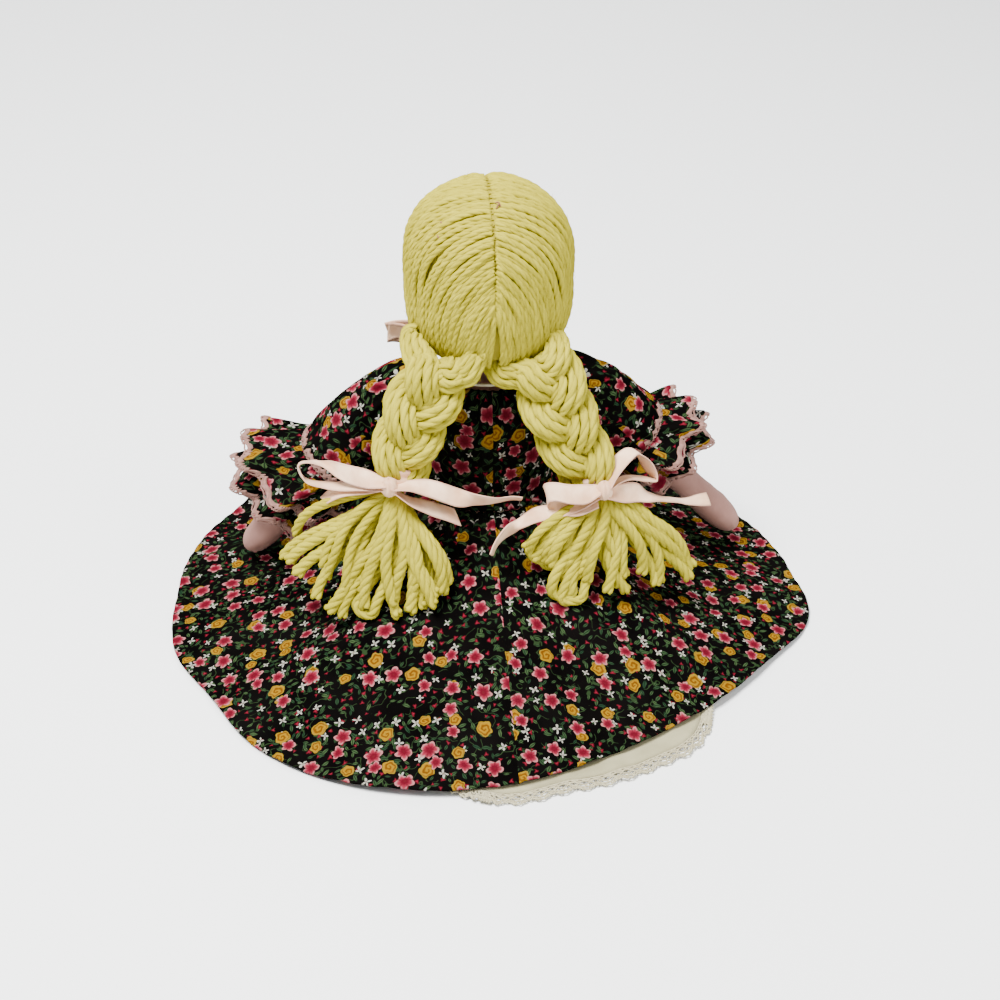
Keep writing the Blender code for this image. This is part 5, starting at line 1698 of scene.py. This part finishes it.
def skirt_top(points):
    """The skirt's height under each point."""
    angle = np.arctan2(points[:, 1], points[:, 0])
    return skirt_height(angle, np.hypot(points[:, 0], points[:, 1]))


def tie_run(side):
    """The direction in which a plait passes through its tie."""
    return unit(TASSEL_TIP[side] - plait_line(side, np.array((0.9,)))[0])


def make_tassel(side):
    """Thick yarn ends that fan out below the tie and rest on the skirt, frayed or doubled in a loop."""
    tie, run = TIE[side], tie_run(side)
    level = unit(np.cross(run, UP))
    level = level * -np.sign(level[0]) * SIDES[side]
    deep = np.cross(run, level)
    deep = deep * np.sign(deep[1])
    build = Build()

    def path(u, layer, reach, bend):
        ends = TASSEL_ENDS[side]
        end = np.array([table(ends, u, c) for c in (1, 2, 3)]) * MM
        start = tie - run * 2 * MM - level * u * 3.6 * MM + deep * layer * 3.4 * MM
        end = tie + (end - tie) * reach
        far = np.linalg.norm(end - tie)
        high = (5.5 + 4.5 * layer) * MM
        rise = (UP * 0.8 + deep * 0.6) * high
        two = tie + (end - tie) * 0.42 + rise
        three = tie + (end - tie) * 0.84 + rise * 0.9
        line = bezier((start, start + run * 7 * MM, two, three, end), 60)
        at = np.linspace(0, 1, 60)
        curl = 4.2 * MM * np.sin(at * (3.5 + 2.5 * bend) + TURN * bend) * smooth(at, 0.2, 0.8)
        return line + level * curl[:, None] * min(1, far / (40 * MM))

    def rested(line, thick, layer):
        """The line lifted where it would sink into the skirt."""
        floor = skirt_top(line) + thick + 0.6 * MM + (1 + layer) * 1.3 * thick
        low = smooth(lines_length(line), 8 * MM, 18 * MM)
        lifted = np.maximum(line[:, 2], floor * low + line[:, 2] * (1 - low))
        return np.column_stack((line[:, :2], lifted))

    for k in range(TASSEL_YARNS):
        u = -1 + 2 * (k + 0.5) / TASSEL_YARNS + 0.24 * (rng.random() - 0.5)
        layer = (0.95, -0.5, 0.35, -0.95, 0.05)[k % 5] + 0.3 * (rng.random() - 0.5)
        bend = rng.random()
        layer = layer * math.sqrt(max(0.15, 1 - 0.6 * u * u))
        reach = (0.93, 1.08, 0.99, 1.05, 0.9)[k % 5] + 0.12 * (rng.random() - 0.5)
        looped = k in TASSEL_LOOPS[side]
        u = min(max(u, -1.0), 1.0)
        line = path(u, layer, reach, bend)
        if looped:
            other = path(max(u - 0.16, -1), layer - 0.5, reach * 0.97, bend)[8:][::-1]
            along = unit(line[-1] - line[-6])
            round_end = bezier((line[-1], line[-1] + along * 4 * MM, other[0] + along * 4 * MM, other[0]), 14)
            line = np.concatenate((line, round_end[1:-1], other))
        line = even_line(line, 0.9 * MM)
        grown = lines_length(line)
        thick = MM * (1.05 + 1.2 * smooth(grown, 1 * MM, 15 * MM)) * (0.82 + 0.25 * rng.random())
        line = even_line(rested(line, thick, layer), 0.9 * MM)
        thick = np.interp(lines_length(line), grown, thick)
        fray = 0.0 if looped else 0.3
        add_yarn(build, line, thick, 17 * MM, 7, 4, tag=0.05 * k, turn=rng.random() * TURN, fray=fray)
        add_fuzz(build, line, float(thick.mean()), 4 * MM, 0.05 * k)
    settle(build.done("tassel_strands_" + side, "yarn"), "plait_" + side, "yarn", "tassel_" + side)


make_scalp()
make_parting()
make_darning()
for side_name in SIDES:
    make_hair(side_name)
    make_plait(side_name)
    make_tassel(side_name)


# Ribbon bows


RIBBON_THICKNESS = 0.4 * MM


def add_ribbon(build, controls, wides, ends, width=RIBBON_WIDTH, slant=0.0):
    """A satin ribbon along a smooth line. wides are directions of its width, spread evenly along it."""
    line = even_line(bezier(controls, 200), 1.0 * MM)
    at = np.linspace(0, 1, len(line))
    wides = np.asarray(wides, float)
    spots = np.linspace(0, 1, len(wides))
    wide = unit(np.column_stack([np.interp(at, spots, wides[:, k]) for k in range(3)]))
    run = unit(np.gradient(line, axis=0))
    across = unit(wide - run * (wide * run).sum(axis=1, keepdims=True))
    normal = np.cross(run, across)
    size = np.interp(at, (0, 0.22, 0.8, 1), (ends[0], 1, 1, ends[1]))
    spread = np.linspace(-0.5, 0.5, 9)
    lean = slant * smooth(at, 0.8, 1.0)
    curl = 0.5 * MM * (1 - 4 * spread**2) * np.sin(7 * at + 1)[:, None]
    points = (
        line[:, None] + across[:, None] * (spread * size[:, None] * width)[..., None]
        + normal[:, None] * curl[..., None] + run[:, None] * (spread * lean[:, None] * width)[..., None]
    )
    points = points + normal[:, None] * wobble(points, 10 * MM, 0.45 * MM, 3)[..., None]
    build.cloth(points, joined(lines_length(line)[:, None], spread[None, :] * width), RIBBON_THICKNESS)


def add_knot(build, centre, size):
    """A ribbon drawn tight over the middle of a bow, with creases across it."""
    rise = np.linspace(-math.pi / 2, math.pi / 2, 26)[:, None]
    around = round_angles(40)
    crease = 1 + 0.07 * np.cos(5 * around + 2 * rise) * np.cos(rise) + 0.05 * np.cos(9 * around)
    points = centre + ball(rise, around) * crease[..., None] * size
    build.grid(points, wrapped_uv(around, 4 * MM, np.sin(rise[:, 0]) * 2.5 * MM), True)


def add_band(build, centre, run, radius, width):
    """The ribbon wound round the plait."""
    first = unit(np.cross(run, (0.2, 0.9, 0.1)))
    second = np.cross(run, first)
    angle = round_angles(72)
    across = np.linspace(-0.5, 0.5, 11)
    out = first * np.cos(angle)[:, None] + second * np.sin(angle)[:, None]
    swell = radius + 0.35 * MM * np.sin(across * 14)[:, None] + 0.25 * MM * np.sin(3 * angle)[None, :]
    net = centre + run * (across * width)[:, None, None] + out[None] * swell[..., None]
    build.cloth(net, wrapped_uv(angle, radius, across * width), 0.5 * MM, round_trip=True)


def add_lay(build, rows):
    """A ribbon through rows of its middle and half its width."""
    at = lines_length(rows[:, :3])
    count = int(at[-1] / (0.9 * MM)) + 2
    spots = np.linspace(0, at[-1], count)
    data = np.column_stack([table(np.column_stack((at, rows[:, c])), spots) for c in range(6)])
    line, wide = data[:, :3], data[:, 3:]
    spread = np.linspace(-1, 1, 11)
    run = unit(np.gradient(line, axis=0))
    normal = unit(np.cross(run, wide))
    bulge = 0.45 * MM * (1 - spread[None, :] ** 2) * np.sin(spots / (5.5 * MM))[:, None]
    points = line[:, None] + wide[:, None] * spread[None, :, None] + normal[:, None] * bulge[..., None]
    points = points + normal[:, None] * wobble(points, 8 * MM, 0.35 * MM, 3)[..., None]
    build.cloth(points, joined(spots[:, None], spread[None, :] * RIBBON_WIDTH / 2), RIBBON_THICKNESS)


BOW_KNOT = {"left": mm(41.6, 46.3, 81.2), "right": mm(-40.2, 46.8, 75.6)}
# Each ribbon as an enlarged view of the photo shows it: the view's corner and enlargement, then rows of the
# ribbon's middle, half its width across and down, how far it stands before the knot, and which way it leans
BOW_VIEW = {"left": ((265, 420), 5.807), "right": ((480, 420), 5.917)}
KNOT_DEPTH = 10.1 * MM
BOW_SIGHTS = {
    "left": (
        (
            (715, 395, 4, 20, -2, 1), (600, 400, 6, 26, -5, 1), (490, 410, 10, 30, -9, 1),
            (410, 430, 18, 30, -12, 1), (352, 470, 20, 18, -15, 1),
        ),
        (
            (715, 372, 0, 26, 1, 1), (600, 343, 3, 50, 0, 1), (500, 318, 8, 57, -4, 1),
            (400, 282, 18, 45, -9, 1), (330, 252, 12, 20, -12, 1), (262, 246, 2, 9, -15, 1),
            (214, 262, 2, 8, -17, 1), (222, 310, 8, 6, -18, 1), (258, 350, 2, 14, -17, 1),
            (340, 370, 0, 20, -14, 1), (430, 384, 0, 22, -11, 1), (520, 388, 0, 24, -7, 1),
            (620, 388, 0, 24, -3, 1), (715, 385, 0, 22, -1, 1),
        ),
        (
            (745, 395, 8, 16, -1, 1), (830, 455, 14, 28, -3, 1), (920, 495, 20, 38, -6, 1),
            (1020, 528, 22, 45, -10, 1), (1130, 565, 18, 47, -14, 1),
        ),
        (
            (740, 380, 0, 22, 0, 1), (850, 378, 0, 30, 0, 1), (950, 393, 0, 47, -2, 1),
            (1055, 427, 0, 60, -5, 1), (1140, 452, 0, 50, -8, 1), (1240, 468, 0, 27, -11, -1),
            (1350, 469, 0, 13, -14, -1), (1440, 459, 0, 8, -17, -1), (1500, 463, -4, 8, -19, -1),
        ),
    ),
    "right": (
        (
            (720, 445, 4, 28, -2, 1), (600, 500, 8, 34, -5, 1), (480, 535, 10, 40, -7, 1),
            (350, 562, 10, 42, -8, 1), (270, 602, 14, 28, -8, 1), (190, 645, 17, 18, -8, -1),
            (130, 692, 13, 8, -8, -1), (92, 742, 8, 4, -8, -1), (72, 800, 6, 3, -8, -1),
        ),
        (
            (765, 428, 3, 34, -1, 1), (860, 432, 0, 62, -4, 1), (940, 428, 0, 56, -8, 1),
            (1010, 452, 4, 30, -13, 1), (1080, 466, 0, 16, -18, 1), (1160, 474, 0, 16, -23, 1),
            (1240, 475, 0, 22, -28, 1), (1310, 470, 6, 33, -32, 1), (1362, 465, 10, 38, -35, 1),
        ),
        (
            (725, 418, 0, 32, 1, 1), (640, 440, 0, 55, 2, 1), (540, 440, 0, 58, 1, 1),
            (455, 425, 10, 58, -1, 1), (408, 432, 16, 56, -3, 1), (402, 462, 8, 50, -6, -1),
            (440, 492, -4, 46, -7, -1), (510, 512, -4, 48, -6, 1), (600, 512, 0, 50, -4, 1),
            (700, 470, 6, 44, -2, 1),
        ),
        (
            (748, 405, 24, 6, 0, 1), (782, 325, 34, 14, 0, 1), (838, 240, 36, 22, -2, 1),
            (895, 188, 26, 24, -4, 1), (935, 185, 12, 16, -6, 1), (985, 250, 18, -12, -10, 1),
            (1038, 322, 15, -8, -14, 1), (1052, 356, 4, 12, -15, 1), (980, 352, 0, 18, -12, 1),
            (900, 345, 0, 17, -8, 1), (832, 358, 6, 17, -4, 1), (775, 402, 14, 14, -1, 1),
        ),
    ),
}


def ribbon_rows(side, sights):
    """The middle and half the width of a ribbon, in metres, from the way it is seen."""
    corner, zoom = BOW_VIEW[side]
    knot = CAMERA_BACK @ (TIE[side] + (0, KNOT_DEPTH, 0))
    rows = []
    for x, y, wide, tall, depth, lean in sights:
        middle = seen_at(np.array(corner) + np.array((x, y)) / zoom, knot + depth * MM)
        half = (CAMERA_RIGHT * wide - CAMERA_UP * tall) / zoom * PIXEL * CAMERA_DISTANCE
        seen = np.linalg.norm(half)
        half = half * min(1, RIBBON_WIDTH / 2 / seen)
        hidden = math.sqrt(max(0, (RIBBON_WIDTH / 2) ** 2 - seen**2))
        rows.append(np.concatenate((middle, half + CAMERA_BACK * lean * hidden)))
    return np.array(rows)


def make_bow(side):
    build = Build()
    add_band(build, TIE[side], tie_run(side), PLAIT_WAIST + 0.9 * MM, RIBBON_WIDTH)
    add_knot(build, BOW_KNOT[side], mm(3.1, 3.4, 3.9))
    for sights in BOW_SIGHTS[side]:
        add_lay(build, ribbon_rows(side, sights))
    settle(build.done("bow_ribbon_" + side, "ribbon"), "plait_" + side, "ribbon", "bow_" + side)


def make_neck_bow():
    share = (98 * MM - CLOTH - GAP) / (TORSO_HEIGHT - CLOTH - GAP)
    front = -float(table(TORSO_SHARES, share, 2) * HIP_HALF_DEPTH + LAYER_GAP + CLOTH)
    knot = np.array((0, front - 4 * MM, 100 * MM))
    up = (0, 0.35, 0.93)
    build = Build()
    add_knot(build, knot, mm(3.5, 3.0, 4.0))
    for sign, tip in ((1, 38), (-1, 31)):
        flip = np.array((sign, 1, 1))
        for high, far in ((7, 4), (-3, 1)):
            before, end = mm(tip - 8, -29, 107 + far), mm(tip, -27, 108)
            path = knot, knot + mm(10, -4, high) * flip, before * flip, end * flip
            add_ribbon(build, path, (up, up, (0.1, 0.1, 0.95)), (0.5, 1.05), width=9 * MM)
        path = knot, knot + mm(4, -3, -6) * flip, mm(12, -29, 88) * flip, mm(13, -25.5, 78) * flip
        add_ribbon(build, path, ((1, 0, 0), (1, 0.1, 0)), (0.6, 1.0), slant=0.5 * sign)
    settle(build.done("neck_ribbon", "ribbon"), "torso", "ribbon", "neck_bow")


for side_name in SIDES:
    make_bow(side_name)
make_neck_bow()


# Floor, light and camera


def plain(name, colour, roughness):
    made = bpy.data.materials.new(name)
    made.use_nodes = True
    inputs = made.node_tree.nodes["Principled BSDF"].inputs
    inputs["Base Color"].default_value = (*colour, 1)
    inputs["Roughness"].default_value = roughness
    return made


FLOOR_HALF = 2.5
FLOOR_DROP = 0.1 * MM


def make_stage():
    shape = bmesh.new()
    corners = ((-1, -1), (1, -1), (1, 1), (-1, 1))
    shape.faces.new([shape.verts.new((x * FLOOR_HALF, y * FLOOR_HALF, -FLOOR_DROP)) for x, y in corners])
    mesh = bpy.data.meshes.new("floor")
    shape.to_mesh(mesh)
    shape.free()
    floor = bpy.data.objects.new("floor", mesh)
    mesh.materials.append(plain("floor_finish", (0.9, 0.91, 0.9), 0.6))
    bpy.context.scene.collection.objects.link(floor)

    world = bpy.data.worlds.new("studio")
    world.use_nodes = True
    inputs = world.node_tree.nodes["Background"].inputs
    inputs["Color"].default_value = (0.93, 0.95, 1.0, 1)
    inputs["Strength"].default_value = 0.5
    bpy.context.scene.world = world

    for name, at, size, power in (
        ("key", (0.35, 0.3, 1.25), 0.5, 66),
        ("fill", (-0.75, 0.55, 0.8), 0.8, 10),
        ("back", (0.1, -0.9, 0.9), 0.9, 10),
    ):
        data = bpy.data.lights.new(name, "AREA")
        data.size = size
        data.energy = power
        light = bpy.data.objects.new(name, data)
        light.location = at
        light.rotation_euler = (Vector((0, 0, 0.06)) - Vector(at)).to_track_quat("-Z", "Y").to_euler()
        bpy.context.scene.collection.objects.link(light)


def make_camera():
    data = bpy.data.cameras.new("camera")
    data.sensor_width = CAMERA_SENSOR
    data.lens = CAMERA_LENS
    data.shift_x, data.shift_y = CAMERA_SHIFT
    camera = bpy.data.objects.new("camera", data)
    back = Vector(CAMERA_BACK)
    camera.location = back * CAMERA_DISTANCE
    camera.rotation_euler = (-back).to_track_quat("-Z", "Y").to_euler()
    bpy.context.scene.collection.objects.link(camera)
    bpy.context.scene.camera = camera


make_stage()
make_camera()
